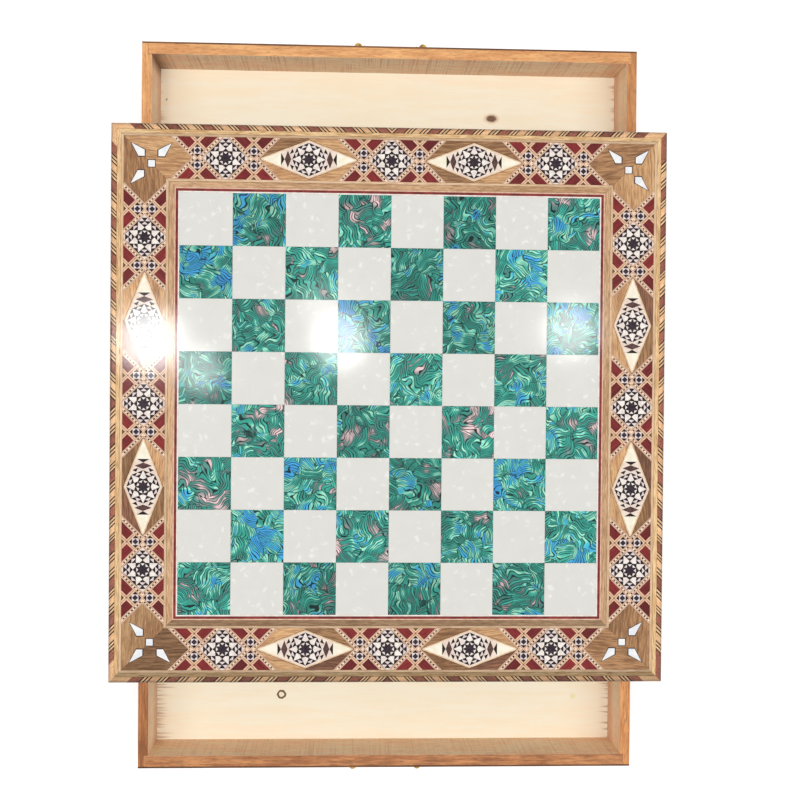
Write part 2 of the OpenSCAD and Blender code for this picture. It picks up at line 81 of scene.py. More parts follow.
# %% Wires
class Wire:
    """An output of a node, for calculating with."""

    def __init__(self, socket):
        self.socket, self.tree = socket, socket.id_data
        self.is_vector = socket.type in ("VECTOR", "RGBA")

    def beside(self, output):
        """Another output of the same node."""
        return Wire(self.socket.node.outputs[output])

    def math(self, operation, *others, clamp=False):
        """A math node, or a vector math node where this wire carries a vector or a colour."""
        inputs = dict(enumerate((self, *others)))
        if self.is_vector:
            output = "Value" if operation in ("LENGTH", "DISTANCE") else "Vector"
            return put("VectorMath", output, inputs, operation=operation)
        return put("Math", 0, inputs, operation=operation, use_clamp=clamp)

    def times_plus(self, factor, addend):
        """This wire times the factor, plus the addend, in one node."""
        return self.math("MULTIPLY_ADD", factor, addend)

    def __add__(self, other):
        return self.math("ADD", other)

    def __sub__(self, other):
        return self.math("SUBTRACT", other)

    def __mul__(self, other):
        if self.is_vector and not isinstance(other, tuple) and not getattr(other, "is_vector", False):
            return put("VectorMath", 0, {0: self, "Scale": other}, operation="SCALE")
        return self.math("MULTIPLY", other)

    def __truediv__(self, other):
        return self * (1.0 / other) if self.is_vector else self.math("DIVIDE", other)

    def __rtruediv__(self, other):
        return put("Math", 0, {0: other, 1: self}, operation="DIVIDE")


# %% Adding nodes
def plug(node, inputs):
    """Sets inputs of a node: a wire is linked, and anything else is a plain value."""
    for key, value in inputs.items():
        if isinstance(value, Wire):
            value.tree.links.new(value.socket, node.inputs[key])
        else:
            node.inputs[key].default_value = value


def put(kind, output, inputs=None, tree=None, **settings):
    """Adds a node to the tree that its wires lie in, and returns one of its outputs."""
    inputs = inputs or {}
    tree = tree or next(value.tree for value in inputs.values() if isinstance(value, Wire))
    node = tree.nodes.new("ShaderNode" + kind)
    for key, value in settings.items():
        setattr(node, key, value)
    plug(node, inputs)
    return Wire(node.outputs[output])


# %% Places and patterns
def join(x, y, z=0.0):
    return put("CombineXYZ", 0, {0: x, 1: y, 2: z})


def part(vector, axis):
    """One number of a vector or a colour: 0, 1 or 2."""
    return put("SeparateXYZ", axis, {0: vector})


def turn_vector(vector, angle):
    """The vector turned round Z by an angle in radians."""
    return put("VectorRotate", 0, {"Vector": vector, "Angle": angle}, rotation_type="Z_AXIS")


def noise(vector, scale=1.0, detail=2.0, roughness=0.5, output="Fac"):
    inputs = {"Vector": vector, "Scale": scale, "Detail": detail, "Roughness": roughness}
    return put("TexNoise", output, inputs)


def centred_noise(vector, scale, detail=1.0):
    """Three noises from -0.5 to 0.5, to push places about."""
    return noise(vector, scale, detail, output="Color") - (0.5, 0.5, 0.5)


def cells(vector, scale, feature="F1"):
    """Voronoi cells: how far a point lies from the middle of its cell, or from its edge."""
    return put("TexVoronoi", "Distance", {"Vector": vector, "Scale": scale}, feature=feature)


# %% Colours
def srgb(red, green, blue):
    """A screen colour from 0 to 255 as the linear values that a shader calculates with."""
    parts = [v / 255 for v in (red, green, blue)]
    return (*[(v / 12.92 if v <= 0.04045 else ((v + 0.055) / 1.055) ** 2.4) for v in parts], 1.0)


def fade(value, start, end, low=0.0, high=1.0):
    """Moves smoothly from low to high while value goes from start to end."""
    inputs = dict(enumerate((value, start, end, low, high)))
    return put("MapRange", 0, inputs, interpolation_type="SMOOTHSTEP")


def mix(factor, first, second, blend="MIX"):
    return put("Mix", 2, {0: factor, 6: first, 7: second}, data_type="RGBA", blend_type=blend)


def ramp(factor, stops):
    made = put("ValToRGB", 0, {0: factor})
    elements = made.socket.node.color_ramp.elements
    while len(elements) < len(stops):
        elements.new(0.5)
    for element, (position, color) in zip(elements, stops):
        element.position, element.color = position, srgb(*color)
    return made


# %% [markdown]
# ## Shared effects
# Grain, saw marks, knots and lacquer waves turn up in several materials. Each is a node group with
# named inputs and outputs: built once, then placed in every material with its own values.

# %% Groups
class Group:
    """A node group. group["Name"] is one of its inputs, as a wire."""

    def __init__(self, name, inputs, outputs):
        self.tree = bpy.data.node_groups.new(name, "ShaderNodeTree")
        for in_out, sockets in (("INPUT", inputs), ("OUTPUT", outputs)):
            for label, kind in sockets.items():
                self.tree.interface.new_socket(label, in_out=in_out, socket_type="NodeSocket" + kind)
        self.inside = self.tree.nodes.new("NodeGroupInput")
        self.outside = self.tree.nodes.new("NodeGroupOutput")

    def __getitem__(self, label):
        return Wire(self.inside.outputs[label])

    def close(self, **outputs):
        plug(self.outside, outputs)
        print("group:", self.tree.name, "with", len(self.tree.nodes), "nodes")

    def use(self, **inputs):
        """Places the group in a material, and returns its first output."""
        return put("Group", 0, inputs, node_tree=self.tree)


# %% [markdown]
# ## Wood grain
# Wood is made of long cells, so its pattern is noise that is stretched along the grain. The group
# takes a place with X along the grain and mixes three layers: broad bands of tone, fine lines, and
# short dark pores. A slow warp bends the bands, as branches bent the tree. It puts out the colour and
# a height for the pores.

# %% Wood grain group
wood_grain = Group(
    "Wood grain",
    dict(Place="Vector", Light="Color", Dark="Color", Band="Float", Wave="Float", Pores="Float"),
    dict(Color="Color", Height="Float"),
)
place = wood_grain["Place"]
bend = (noise(place * (14.0, 45.0, 45.0), detail=1.0) - 0.5) * wood_grain["Wave"]
bent = place + join(0.0, bend, bend)
bands = noise(bent * (0.1, 1.0, 1.0) / wood_grain["Band"], detail=3.0, roughness=0.62)
lines = noise(bent * (80.0, 1150.0, 1150.0))
drift = noise(place * (16.0, 50.0, 50.0), detail=1.0)
tone = drift.times_plus(0.25, bands.times_plus(0.65, lines * 0.35) - 0.125)
color = mix(fade(tone, 0.37, 0.62), wood_grain["Light"], wood_grain["Dark"])
pores = noise(bent * (210.0, 2900.0, 2900.0), detail=0.0)
holes = fade(pores, 0.58, 0.72) * wood_grain["Pores"]
color = mix(holes, color, mix(0.62, color, srgb(0, 0, 0)))
wood_grain.close(Color=color, Height=holes.times_plus(-1.0, tone * 0.3))

# %% [markdown]
# ## Lacquer
# The whole top lies under one thick coat of clear lacquer. It isn't quite flat: it was brushed or
# sprayed, so it swells and sinks by a few hundredths of a millimetre over a centimetre, which makes
# the reflections waver. The group puts out that height, with a few dust nibs. The clear coat itself
# is a part of each shader.

# %% Lacquer group
lacquer = Group("Lacquer waves", dict(Place="Vector", Nibs="Float"), dict(Height="Float"))
place = lacquer["Place"]
bumps = fade(cells(place, 55.0), 0.0, 0.035, 1.0, 0.0) * lacquer["Nibs"]
lacquer.close(Height=noise(place, 48.0, 1.0) + bumps)

# %% Finishing a shader
WAVE_HEIGHT = 0.00006
COAT_WEIGHT, COAT_ROUGHNESS = 0.5, 0.08

# The CAD frame has plain materials, some with the same names, so the new ones are looked up in here.
MATERIALS = {}


def new_material(name):
    """Makes a material and keeps it under that name. Returns its tree and its shader."""
    material = MATERIALS[name] = bpy.data.materials.new(name)
    material.use_nodes = True
    return material.node_tree, material.node_tree.nodes["Principled BSDF"]


def own_place(tree):
    """A point's place in the part's own frame, in metres."""
    return put("TexCoord", "Object", tree=tree)


def grain_place(tree):
    """The place along and across the grain that each inlay piece carries."""
    return put("Attribute", "Vector", tree=tree, attribute_name="grain")


def bump(height, distance):
    return put("Bump", 0, {"Height": height, "Distance": distance})


def clear_coat(shader, color, roughness=0.4):
    """Gives the shader its colour and lays the lacquer over it."""
    film = lacquer.use(Place=own_place(color.tree), Nibs=0.5)
    plug(shader, {
        "Base Color": color, "Roughness": roughness, "Specular IOR Level": 0.0,
        "Coat Weight": COAT_WEIGHT, "Coat Roughness": COAT_ROUGHNESS, "Normal": bump(film, WAVE_HEIGHT),
    })


# %% [markdown]
# ## Lacquered woods
# The mosaic uses many woods: light and dark walnut, a pale straight-grained wood, a red-stained and
# a black-stained one. They differ in colours, in how wide their bands are and in how many pores
# show, so one recipe makes them all. A piece of inlay reads its grain from an attribute that the
# mesh carries, so that each piece can be cut in its own direction.

# %% Recipe for a lacquered wood
def grained(place, light, dark, band, wave, pores):
    """Wood grain at a place. light and dark are screen colours, band and wave are in mm."""
    return wood_grain.use(
        Place=place, Light=srgb(*light), Dark=srgb(*dark), Band=band * MM, Wave=wave * MM, Pores=pores
    )


def lacquered_wood(name, light, dark, band, wave, pores, spread, edge_shade=0.0):
    """spread varies the tone per piece; the last argument paints shade on the millimetres by the outer
    face.
    """
    tree, shader = new_material(name)
    color = grained(grain_place(tree), light, dark, band, wave, pores)
    tone = put("Attribute", "Fac", tree=tree, attribute_name="tone")
    color = color * tone.times_plus(2 * spread, 1.0 - spread)
    if edge_shade:
        # Painted shade: the last millimetres before the outer face, round the rounded edge, are darkened
        # and cooled.
        edge_shaded = mix(1.0, color, srgb(188, 196, 214), "MULTIPLY")
        color = mix(fade(part(grain_place(tree), 2), 0.0028, 0.0004, 0.0, edge_shade), color, edge_shaded)
    clear_coat(shader, color)


# %% Woods of the mosaic
WOODS = {
    # name: light, dark, band, wave, pores, spread
    "walnut_light": ((226, 180, 130), (176, 128, 88), 1.3, 3.0, 0.5, 0.1),
    "walnut_mid": ((178, 134, 94), (126, 88, 58), 1.3, 4.0, 0.5, 0.12),
    "walnut_dark": ((156, 108, 80), (108, 72, 54), 1.1, 2.0, 0.5, 0.12),
    "edge_wood": ((232, 198, 150), (198, 156, 106), 0.9, 0.5, 0.6, 0.2),
    "line_wood": ((234, 200, 164), (206, 168, 130), 0.8, 0.4, 0.3, 0.16),
    "border_walnut": ((214, 174, 134), (170, 130, 94), 0.8, 0.6, 0.5, 0.28),
    "red_wood": ((138, 42, 40), (104, 30, 31), 0.7, 0.8, 0.6, 0.34),
}
for name, recipe in WOODS.items():
    lacquered_wood(name, *recipe)
print("woods:", list(WOODS))

# %% [markdown]
# ## Plain inlays
# Lines and tiny pieces are too narrow to show a grain of their own, but no two of them are quite the
# same tone. A soft noise at their own scale keeps them from looking painted.

# %% Recipe for a plain inlay
def plain_inlay(name, first, second, scale, roughness=0.4):
    tree, shader = new_material(name)
    mottle = noise(own_place(tree), scale)
    clear_coat(shader, mix(fade(mottle, 0.35, 0.65), srgb(*first), srgb(*second)), roughness)


PLAIN_INLAYS = {
    # name: first tone, second tone, scale of the mottle, roughness where it isn't the usual one
    "pink_line": ((232, 192, 166), (212, 168, 142), 260.0),
    "red_line": ((140, 56, 48), (108, 38, 36), 160.0),
    "peach_line": ((236, 204, 166), (216, 180, 144), 300.0),
    "strip_cream": ((252, 222, 190), (232, 194, 162), 420.0),
    "strip_pink": ((238, 200, 176), (216, 174, 150), 420.0),
    "strip_tan": ((206, 158, 128), (180, 132, 104), 520.0),
    "plain_cream": ((240, 204, 172), (220, 182, 148), 420.0),
    "white_bone": ((246, 238, 230), (230, 216, 208), 320.0),
    "lilac_bone": ((234, 220, 216), (216, 200, 200), 420.0),
    "pink_bone": ((242, 226, 210), (230, 208, 194), 320.0),
    "ivory": ((250, 243, 224), (243, 232, 208), 220.0),
    "white_shell": ((244, 244, 242), (230, 232, 236), 180.0),
    "ebony": ((40, 26, 22), (24, 14, 14), 500.0),
    "purple_black": ((56, 42, 52), (36, 26, 36), 500.0),
    "olive_dark": ((112, 84, 50), (84, 60, 38), 500.0),
    "dot_brown": ((70, 42, 30), (44, 26, 20), 500.0),
    "brown_diamond": ((98, 68, 62), (72, 50, 48), 420.0),
    "glue": ((84, 56, 40), (58, 38, 30), 300.0, 0.6),
}
for name, recipe in PLAIN_INLAYS.items():
    plain_inlay(name, *recipe)
print("plain inlays:", len(PLAIN_INLAYS))

# %% [markdown]
# ## White pearl squares
# The pale squares are cut from sheets of white mother-of-pearl laminate: nearly even, with soft
# brighter flakes a millimetre or three long that lie in all directions. Flakes are the cores of
# Voronoi cells, warped so that they aren't round, and only some cells have one. Each square is cut
# from another part of the sheet, so the place is shifted by a number drawn from the square's own
# row and column.

# %% Sheet shift group
sheet_shift = Group("Sheet shift", dict(Place="Vector", Pitch="Float"), dict(Place="Vector", Draw="Float"))
place = sheet_shift["Place"]
square = (place / sheet_shift["Pitch"]).math("FLOOR") * (1.0, 1.0, 0.0)
drawn = put("TexWhiteNoise", "Value", {"Vector": square}, noise_dimensions="3D")
moved = place + drawn.beside("Color")
sheet_shift.close(Place=turn_vector(moved, drawn * (2 * math.pi)), Draw=drawn)

# %% Pearl
def pearl_flakes(place, degrees, scale, share):
    """A mask of soft long flakes that lie in one direction, in that share of the cells."""
    flakes = cells(turn_vector(place, math.radians(degrees)) * (0.5, 1.0, 1.0), scale)
    chosen = fade(part(flakes.beside("Color"), 0), 1.0 - share, 1.0)
    return fade(flakes, 0.08, 0.36, 1.0, 0.0) * chosen


tree, shader = new_material("white_pearl")
place = sheet_shift.use(Place=own_place(tree), Pitch=SQUARE * MM)
warped = centred_noise(place, 330.0, 2.0).times_plus((0.005, 0.005, 0.0), place)
color = mix(noise(place, 90.0, 3.0), srgb(216, 215, 209), srgb(224, 223, 217))
for degrees, scale, share in ((20.0, 190.0, 0.55), (75.0, 260.0, 0.45), (130.0, 230.0, 0.5)):
    color = mix(pearl_flakes(warped, degrees, scale, share) * 0.62, color, srgb(244, 243, 239))
clear_coat(shader, color, 0.3)
print("pearl mixed")

# %% [markdown]
# ## Abalone squares
# The green squares are a laminate of abalone shell. It shows the growth layers of the shell, cut at
# a slant: thin dark lines that run side by side and swirl like the contours of a map, over a sheen
# that drifts from green to mint, blue and rose. The sheet is glued up from many slices, so the shader
# first splits the square into ragged cells, each with a direction of its own. In a cell, a slope plus
# a smooth noise is a landscape, and the layers are its contours: the fraction of the height gives the
# dark line, its whole part the tone of the layer. A slower noise picks the hue of each patch.

# %% Shell layers group
shell_layers = Group(
    "Shell layers",
    dict(Place="Vector", Slices="Float", Slope="Float", Hills="Float"),
    dict(Line="Float", Draw="Float", Slice="Float"),
)
place = shell_layers["Place"]
warped = centred_noise(place, 120.0, 2.0).times_plus((0.012, 0.012, 0.0), place)
slices = cells(warped, shell_layers["Slices"]).beside("Color")
seams = cells(warped, shell_layers["Slices"], "DISTANCE_TO_EDGE")
own = part(slices, 0)
cut = turn_vector(place, own * (2 * math.pi)) + slices
hills = noise(cut, 70.0, 1.0, 0.4) * shell_layers["Hills"]
height = part(cut, 0).times_plus(shell_layers["Slope"], hills)
key = own.times_plus(40.0, height.math("FLOOR"))
drawn = put("TexWhiteNoise", "Value", {"W": key}, noise_dimensions="1D")
edge = (height.math("FRACT") - 0.5).math("ABSOLUTE")
start = noise(place, 180.0, 1.0).times_plus(-0.3, 0.48)
line = put("MapRange", 0, {0: edge, 1: start, 2: start + 0.06})
seam = fade(seams, 0.006, 0.022, 0.8, 0.0)
shell_layers.close(Line=line.math("MAXIMUM", seam), Draw=drawn, Slice=own)

# %% Abalone
SHEEN = (
    (0.25, (236, 204, 204)), (0.29, (170, 158, 156)), (0.34, (84, 130, 124)), (0.43, (46, 142, 126)),
    (0.51, (66, 168, 150)), (0.56, (150, 216, 186)), (0.595, (84, 188, 186)), (0.635, (62, 160, 194)),
    (0.72, (60, 148, 206)),
)
tree, shader = new_material("abalone_shell")
place = sheet_shift.use(Place=own_place(tree), Pitch=SQUARE * MM)
of_square = place.beside("Draw")
line = shell_layers.use(Place=place, Slices=80.0, Slope=600.0, Hills=12.0)
of_layer = line.beside("Draw")
patches = noise(place + (3.1, 1.7, 0.0), 64.0, 1.5)
hue = of_layer.times_plus(0.15, patches.times_plus(0.85, line.beside("Slice") * 0.14))
sheen = ramp(of_square.times_plus(0.12, hue) - 0.13, SHEEN)
depth = put("TexWhiteNoise", "Value", {"W": of_square}, noise_dimensions="1D")
color = sheen * depth.times_plus(0.36, of_layer.times_plus(0.42, 0.62))
clear_coat(shader, mix(line * 0.97, color, srgb(6, 32, 34)), 0.3)
print("abalone mixed")

# %% [markdown]
# ## Giving CAD pieces their finish
# Where the CAD piece already has its final shape, it only needs a material. Its object sits at the
# origin, so its own coordinates are the part's, and a pattern runs through from piece to piece.

# %% Finish the CAD pieces of the top
def paint(material, *nodes):
    """Gives CAD nodes the new material of that name."""
    for node in nodes:
        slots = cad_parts[node].data.materials
        slots.clear()
        slots.append(MATERIALS[material])


CAD_FINISHES = {
    "pink_line": "walnut_line", "red_line": "red_stringing", "white_bone": "white_line",
    "plain_cream": "plain_strips", "olive_dark": "dark_triangles", "ebony": "eye_diamonds",
    "purple_black": "star_cores", "white_pearl": "pearl_tiles", "abalone_shell": "abalone_tiles",
}
for material, node in CAD_FINISHES.items():
    paint(material, node)
print("painted", len(CAD_FINISHES), "CAD nodes of the top")

# %% [markdown]
# ## Cutting inlay pieces
# Mosaic is sawn from rods: each piece is a tiny flat prism with its own outline. The helper below
# collects prisms in one mesh. Each gets its material, a grain direction and a random tone, stored as
# attributes for the shaders. Pieces end a few hundredths of a millimetre short of each other, so
# that a line of dark glue shows between them.

# %% Outlines
draws = random.Random(41)


def rectangle(x0, y0, x1, y1):
    return [(x0, y0), (x1, y0), (x1, y1), (x0, y1)]


def resized(outline, by):
    """The outline with its corners moved out from its middle, or in where by is less than 0."""
    middle = Vector([sum(p[i] for p in outline) / len(outline) for i in (0, 1)])
    rays = [Vector(p) - middle for p in outline]
    return [tuple(middle + ray * (1 + by / max(ray.length, 4 * abs(by)))) for ray in rays]


def add_piece(name, mesh, materials, body, stands_for):
    """Puts a finished mesh in the scene, on its body and in the place of the CAD nodes it stands for."""
    for material in materials:
        mesh.materials.append(MATERIALS[material])
    made = bpy.data.objects.new(name, mesh)
    bpy.context.scene.collection.objects.link(made)
    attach(made, body)
    if stands_for:
        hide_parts(*stands_for)
    print(name + ":", len(mesh.polygons), "faces")
    return made


# %% Inlay helper
class Cutting:
    """Collects flat prisms, in millimetres, for one mesh."""

    def __init__(self):
        self.points, self.faces, self.slots, self.grain, self.tone = [], [], [], [], []

    def piece(self, outline, top=INLAY_Z, low=BOARD_Z, slot=0, grain=0.0, place=None, inset=0.0, tone=None):
        """Adds one prism. grain is the direction of its grain in degrees, place a matrix in mm."""
        area = sum(a[0] * b[1] - b[0] * a[1] for a, b in zip(outline, outline[1:] + outline[:1]))
        outline = list(outline) if area > 0 else list(reversed(outline))
        if inset:
            outline = resized(outline, -inset)
        place = place or Matrix.Identity(4)
        first, count = len(self.points), len(outline)
        shift = draws.uniform(0.0, 2.0)
        shade = draws.random() if tone is None else tone
        turn = math.radians(grain)
        for height in (low, top):
            for x, y in outline:
                self.points.append((place @ Vector((x, y, height))) * MM)
                along = x * math.cos(turn) + y * math.sin(turn)
                across = y * math.cos(turn) - x * math.sin(turn)
                self.grain += [along * MM + shift, across * MM + shift, height * MM]
                self.tone.append(shade)
        low_ring, top_ring = range(first, first + count), range(first + count, first + 2 * count)
        self.faces += [list(reversed(low_ring)), list(top_ring)]
        for i in range(count):
            j = (i + 1) % count
            self.faces.append([low_ring[i], low_ring[j], top_ring[j], top_ring[i]])
        self.slots += [slot] * (count + 2)

    def build(self, name, materials, slot_name, body="case", stands_for=()):
        mesh = bpy.data.meshes.new(name)
        mesh.from_pydata(self.points, [], self.faces)
        mesh.attributes.new("grain", "FLOAT_VECTOR", "POINT").data.foreach_set("vector", self.grain)
        mesh.attributes.new("tone", "FLOAT", "POINT").data.foreach_set("value", self.tone)
        made = add_piece(name, mesh, materials, body, stands_for)
        mesh.polygons.foreach_set("material_index", self.slots)
        return made


# %% Places round the band
def quarters(turns):
    """A turn round Z by that many quarters."""
    return Matrix.Rotation(turns * math.pi / 2, 4, "Z")


def moved_by(x, y):
    return Matrix.Translation((x, y, 0))


def round_band(*steps):
    """The places of a piece of the band on all four sides, at these steps of the stars' pitch."""
    return [quarters(turn) @ moved_by(step * STAR_PITCH, -BAND_MID) for turn in range(4) for step in steps]


STARS, LOZENGES = round_band(-1, 0, 1), round_band(-0.5, 0.5)
CROSSINGS = [star @ moved_by(i * CROSSING, 0) for star in STARS for i in (-1, 1)]
print(len(STARS), "stars,", len(LOZENGES), "lozenges,", len(CROSSINGS), "crossings")

# %% [markdown]
# ## One star
# A star has eight bone kites. The triangle between two neighbouring tips is split again into a bone
# triangle and three dark ones, the way a rod is glued up from thinner rods. Inside the kites, eight
# small bone triangles point at the middle and leave a dark star between them. The same recipe, turned
# by half a step, makes the stars of the lozenges.

# %% Star recipe
WAIST_R, HEART_R, SAW, STAR_GAP = 6.9, 5.4, 0.05, 0.2
RING_R, RING_HALF, RING_POINT, RING_GAP = 4.53, 1.56, 2.93, 0.12
WAIST_TURN = 0.6


def polar(radius, degrees):
    return (radius * math.cos(math.radians(degrees)), radius * math.sin(math.radians(degrees)))


def halfway(a, b):
    return ((a[0] + b[0]) / 2, (a[1] + b[1]) / 2)


def turned(points, degrees):
    """Points turned round the middle of their star."""
    cos, sin = polar(1.0, degrees)
    return [(x * cos - y * sin, x * sin + y * cos) for x, y in points]


def split_star(tip_r, start):
    """The bone pieces, the lilac pieces between the tips and the dark pieces of one star."""
    bone, lilac, dark = [], [], []
    for tip in [start + 45 * k for k in range(8)]:
        waist = tip + 22.5
        right_waist = polar(WAIST_R, waist - WAIST_TURN)
        left_waist = polar(WAIST_R, waist - (45 - WAIST_TURN))
        bone.append([polar(tip_r, tip), right_waist, polar(HEART_R, tip), left_waist])
        root, left, right = polar(WAIST_R, waist), polar(tip_r, tip), polar(tip_r, tip + 45)
        low_left, low_right, top = halfway(root, left), halfway(root, right), halfway(left, right)
        lilac.append([low_left, low_right, top])
        dark += [[root, low_left, low_right], [left, low_left, top], [right, low_right, top]]
        bone.append(turned([(RING_R, -RING_HALF), (RING_R, RING_HALF), (RING_POINT, 0)], waist))
        spike_r = RING_R + RING_GAP
        dark.append(turned([(spike_r, -RING_HALF), (spike_r, RING_HALF), (WAIST_R - 0.1, 0)], waist))
    return bone, lilac, dark


PANEL = CROSSING - STRIP_IN
TIP_R = (PANEL - STAR_GAP * math.sqrt(2)) / (math.cos(math.pi / 8) + math.sin(math.pi / 8))
bone_parts, lilac_parts, dark_parts = split_star(TIP_R, 22.5)
print("one star:", len(bone_parts) + len(lilac_parts), "pale and", len(dark_parts), "dark pieces")

# %% Stars of the band
END_BASE, END_POINT = 13.8, 11.4
END_HALF, END_OVER = PANEL - END_BASE, 0.02
WEDGE = ((END_POINT, 0.25), (END_BASE - 0.1, END_HALF), (END_POINT - 0.2, 4.3))


def cut_diamond(reach, flat):
    """The star's panel: a diamond of that reach, cut off at the two edges of the band."""
    return [
        (reach, 0), (reach - flat, flat), (flat - reach, flat),
        (-reach, 0), (flat - reach, -flat), (reach - flat, -flat),
    ]


def octagon(tip_r, start):
    return [polar(tip_r, start + 45 * k) for k in range(8)]


panels, star_bone, star_dark = Cutting(), Cutting(), Cutting()
for place in STARS:
    panels.piece(cut_diamond(PANEL - 0.05, HALF_BAND), top=PANEL_Z, place=place)
    star_dark.piece(octagon(TIP_R - 0.1, 22.5), top=BED_Z, place=place)
    for slot, outlines in enumerate((bone_parts, lilac_parts)):
        for outline in outlines:
            star_bone.piece(outline, place=place, inset=SAW, slot=slot)
    for outline in dark_parts:
        star_dark.piece(outline, place=place, inset=SAW)
    for k in range(4):
        spot = place @ quarters(k)
        dart = [(END_POINT, 0), (END_BASE, -END_HALF), (END_BASE, END_HALF)]
        star_dark.piece(dart, place=spot, inset=SAW)
        flat = HALF_BAND if k % 2 else PANEL
        tall = PANEL - flat
        end = [(END_BASE, -END_HALF), (flat, -tall), (flat, tall + END_OVER), (END_BASE, END_HALF)]
        star_bone.piece(end, place=spot, inset=SAW, slot=2)
        for side in (-1, 1):
            star_bone.piece([(x, side * y) for x, y in WEDGE], place=spot, inset=SAW, slot=1)
panels.build("star_grounds", ["ebony"], "dark_wood")
STAR_BONES = ["white_bone", "lilac_bone", "pink_bone"]
star_bone.build("star_bone_pieces", STAR_BONES, "bone", stands_for=["band_stars"])
star_dark.build("star_dark_pieces", ["ebony"], "dark_wood", stands_for=["star_panels"])

# %% [markdown]
# ## The lozenges
# Between two crossings lies a long lozenge. It has a peach outline, and at each end an ivory point, a
# dark dart and a brown diamond, with a few small triangles between them and the star in the middle.
# Its long edges are straight lines, so their slope gives half its height at any distance from the
# middle, and the pieces take their corners from it. Four pieces of walnut surround the lozenge, each
# from another sheet, so they differ in tone.

# %% Shape of a lozenge
LOZENGE_L = STAR_PITCH / 2 - CROSSING - STRIP_IN
LOZENGE_W, BLUNT, OUTLINE = 14.3, 0.9, 1.25
SLOPE = (LOZENGE_W - BLUNT) / (LOZENGE_L - BLUNT)
INNER_L, INNER_W = (LOZENGE_W - OUTLINE) / SLOPE, LOZENGE_W - OUTLINE
LOZENGE_TIP_R, POINT_X, DART_TIP = 12.0, 19.95, 17.4
DART_HALF, DIAMOND = 4.45, (12.7, 15.05, 17.35, 6.2)
PEACH_LONG, PEACH_TALL = 0.985, 0.975
GLUE_Z, PEACH_Z, BONE_Z, POINT_Z, DART_Z = (INLAY_Z + step for step in (-0.1, -0.08, -0.06, -0.03, 0.01))


def four_ways(points):
    """The outline and its mirror images, one for each quarter of the lozenge."""
    return [[(x * a, y * b) for a, b in points] for x in (-1, 1) for y in (-1, 1)]


LOZENGE = [
    (LOZENGE_L, 0), (LOZENGE_L - BLUNT, BLUNT), (0, LOZENGE_W), (BLUNT - LOZENGE_L, BLUNT), (-LOZENGE_L, 0),
]
LOZENGE += [(x, -y) for x, y in reversed(LOZENGE[1:-1])]
INNER = [(INNER_L, 0), (0, INNER_W), (-INNER_L, 0), (0, -INNER_W)]
print("a lozenge is", round(2 * LOZENGE_L, 1), "by", 2 * LOZENGE_W, "mm")

# %% Lozenges
bone_parts, lilac_parts, dark_parts = split_star(LOZENGE_TIP_R, 0.0)
lilac_parts += four_ways([(13.5, 3.2), (11.1, 4.2), (12.4, 0.5)])
dark_parts += four_ways([(11.9, 7.7), (13.7, 3.6), (10.6, 4.9)])
outlines, loz_pale, loz_bone, loz_dark = Cutting(), Cutting(), Cutting(), Cutting()
for place in LOZENGES:
    outlines.piece(LOZENGE, top=GLUE_Z, place=place, slot=1)
    outlines.piece([(x * PEACH_LONG, y * PEACH_TALL) for x, y in LOZENGE], top=PEACH_Z, place=place)
    loz_pale.piece(INNER, top=BONE_Z, place=place, slot=1)
    loz_dark.piece(octagon(LOZENGE_TIP_R - 0.1, 0.0), top=BED_Z, place=place)
    for slot, parts in enumerate((bone_parts, lilac_parts)):
        for outline in parts:
            loz_bone.piece(outline, place=place, inset=SAW, slot=slot)
    for outline in dark_parts:
        loz_dark.piece(outline, place=place, inset=SAW)
    for x in (-1, 1):
        height = INNER_W - SLOPE * POINT_X
        point = [(x * POINT_X, -height), (x * (INNER_L - 0.1), 0), (x * POINT_X, height)]
        loz_pale.piece(point, top=POINT_Z, place=place)
        dart = [(x * DART_TIP, 0), (x * POINT_X, -DART_HALF), (x * POINT_X, DART_HALF)]
        loz_dark.piece(dart, top=DART_Z, place=place)
        near, middle, far, tall = DIAMOND
        diamond = [(x * near, 0), (x * middle, tall), (x * far, 0), (x * middle, -tall)]
        loz_dark.piece(diamond, place=place, slot=1)
outlines.build("lozenge_outlines", ["peach_line", "glue"], "cream_wood")
loz_pale.build("lozenge_ivory", ["ivory", "pink_bone"], "bone", stands_for=["lozenge_ends"])
loz_bone.build("lozenge_bone_pieces", ["white_bone", "lilac_bone"], "bone", stands_for=["lozenge_stars"])
LOZENGE_DARK = ["lozenge_panels", "lozenge_diamonds"]
loz_dark.build("lozenge_dark_pieces", ["ebony", "brown_diamond"], "dark_wood", stands_for=LOZENGE_DARK)

# %% Walnut ground round the lozenges
GROUND = [(BLUNT - LOZENGE_L, BLUNT), (0, LOZENGE_W), (0, HALF_BAND), (HALF_BAND - LOZENGE_L, HALF_BAND)]
WALNUTS = ["walnut_light", "walnut_mid", "walnut_dark"]
light_ground, dark_ground = Cutting(), Cutting()
GROUND_PIECES = (
    (light_ground, 1, 0, (0, 0, 1)), (light_ground, 1, 2, (2, 2, 1)),
    (dark_ground, -1, 0, (0, 0, 1)), (dark_ground, -1, 2, (0, 1, 1)),
)
for place in LOZENGES:
    for cutting, mirrored, turns, woods in GROUND_PIECES:
        outline = [(mirrored * x, y) for x, y in GROUND]
        slant, wood = draws.uniform(-8, 8), draws.choice(woods)
        cutting.piece(outline, place=place @ quarters(turns), grain=slant, inset=0.05, slot=wood)
light_ground.build("ground_light_pieces", WALNUTS, "walnut", stands_for=["ground_light"])
dark_ground.build("ground_dark_pieces", WALNUTS, "walnut_dark", stands_for=["ground_dark"])

# %% [markdown]
# ## The crossings
# A dotted strip frames each star and each lozenge, and the frames meet at the crossings. Such a strip
# is a sandwich: a cream strip with a row of brown dots, between two pink lines, with dark glue in the
# joints. Each half of a frame is a parallelogram, given by how far its two edges lie from the
# crossing, along the band. Above and below the crossing sit dark diamonds, each with a bone square
# and a dark eye. What lies on top of a CAD piece is two hundredths of a millimetre proud, which the
# lacquer hides.

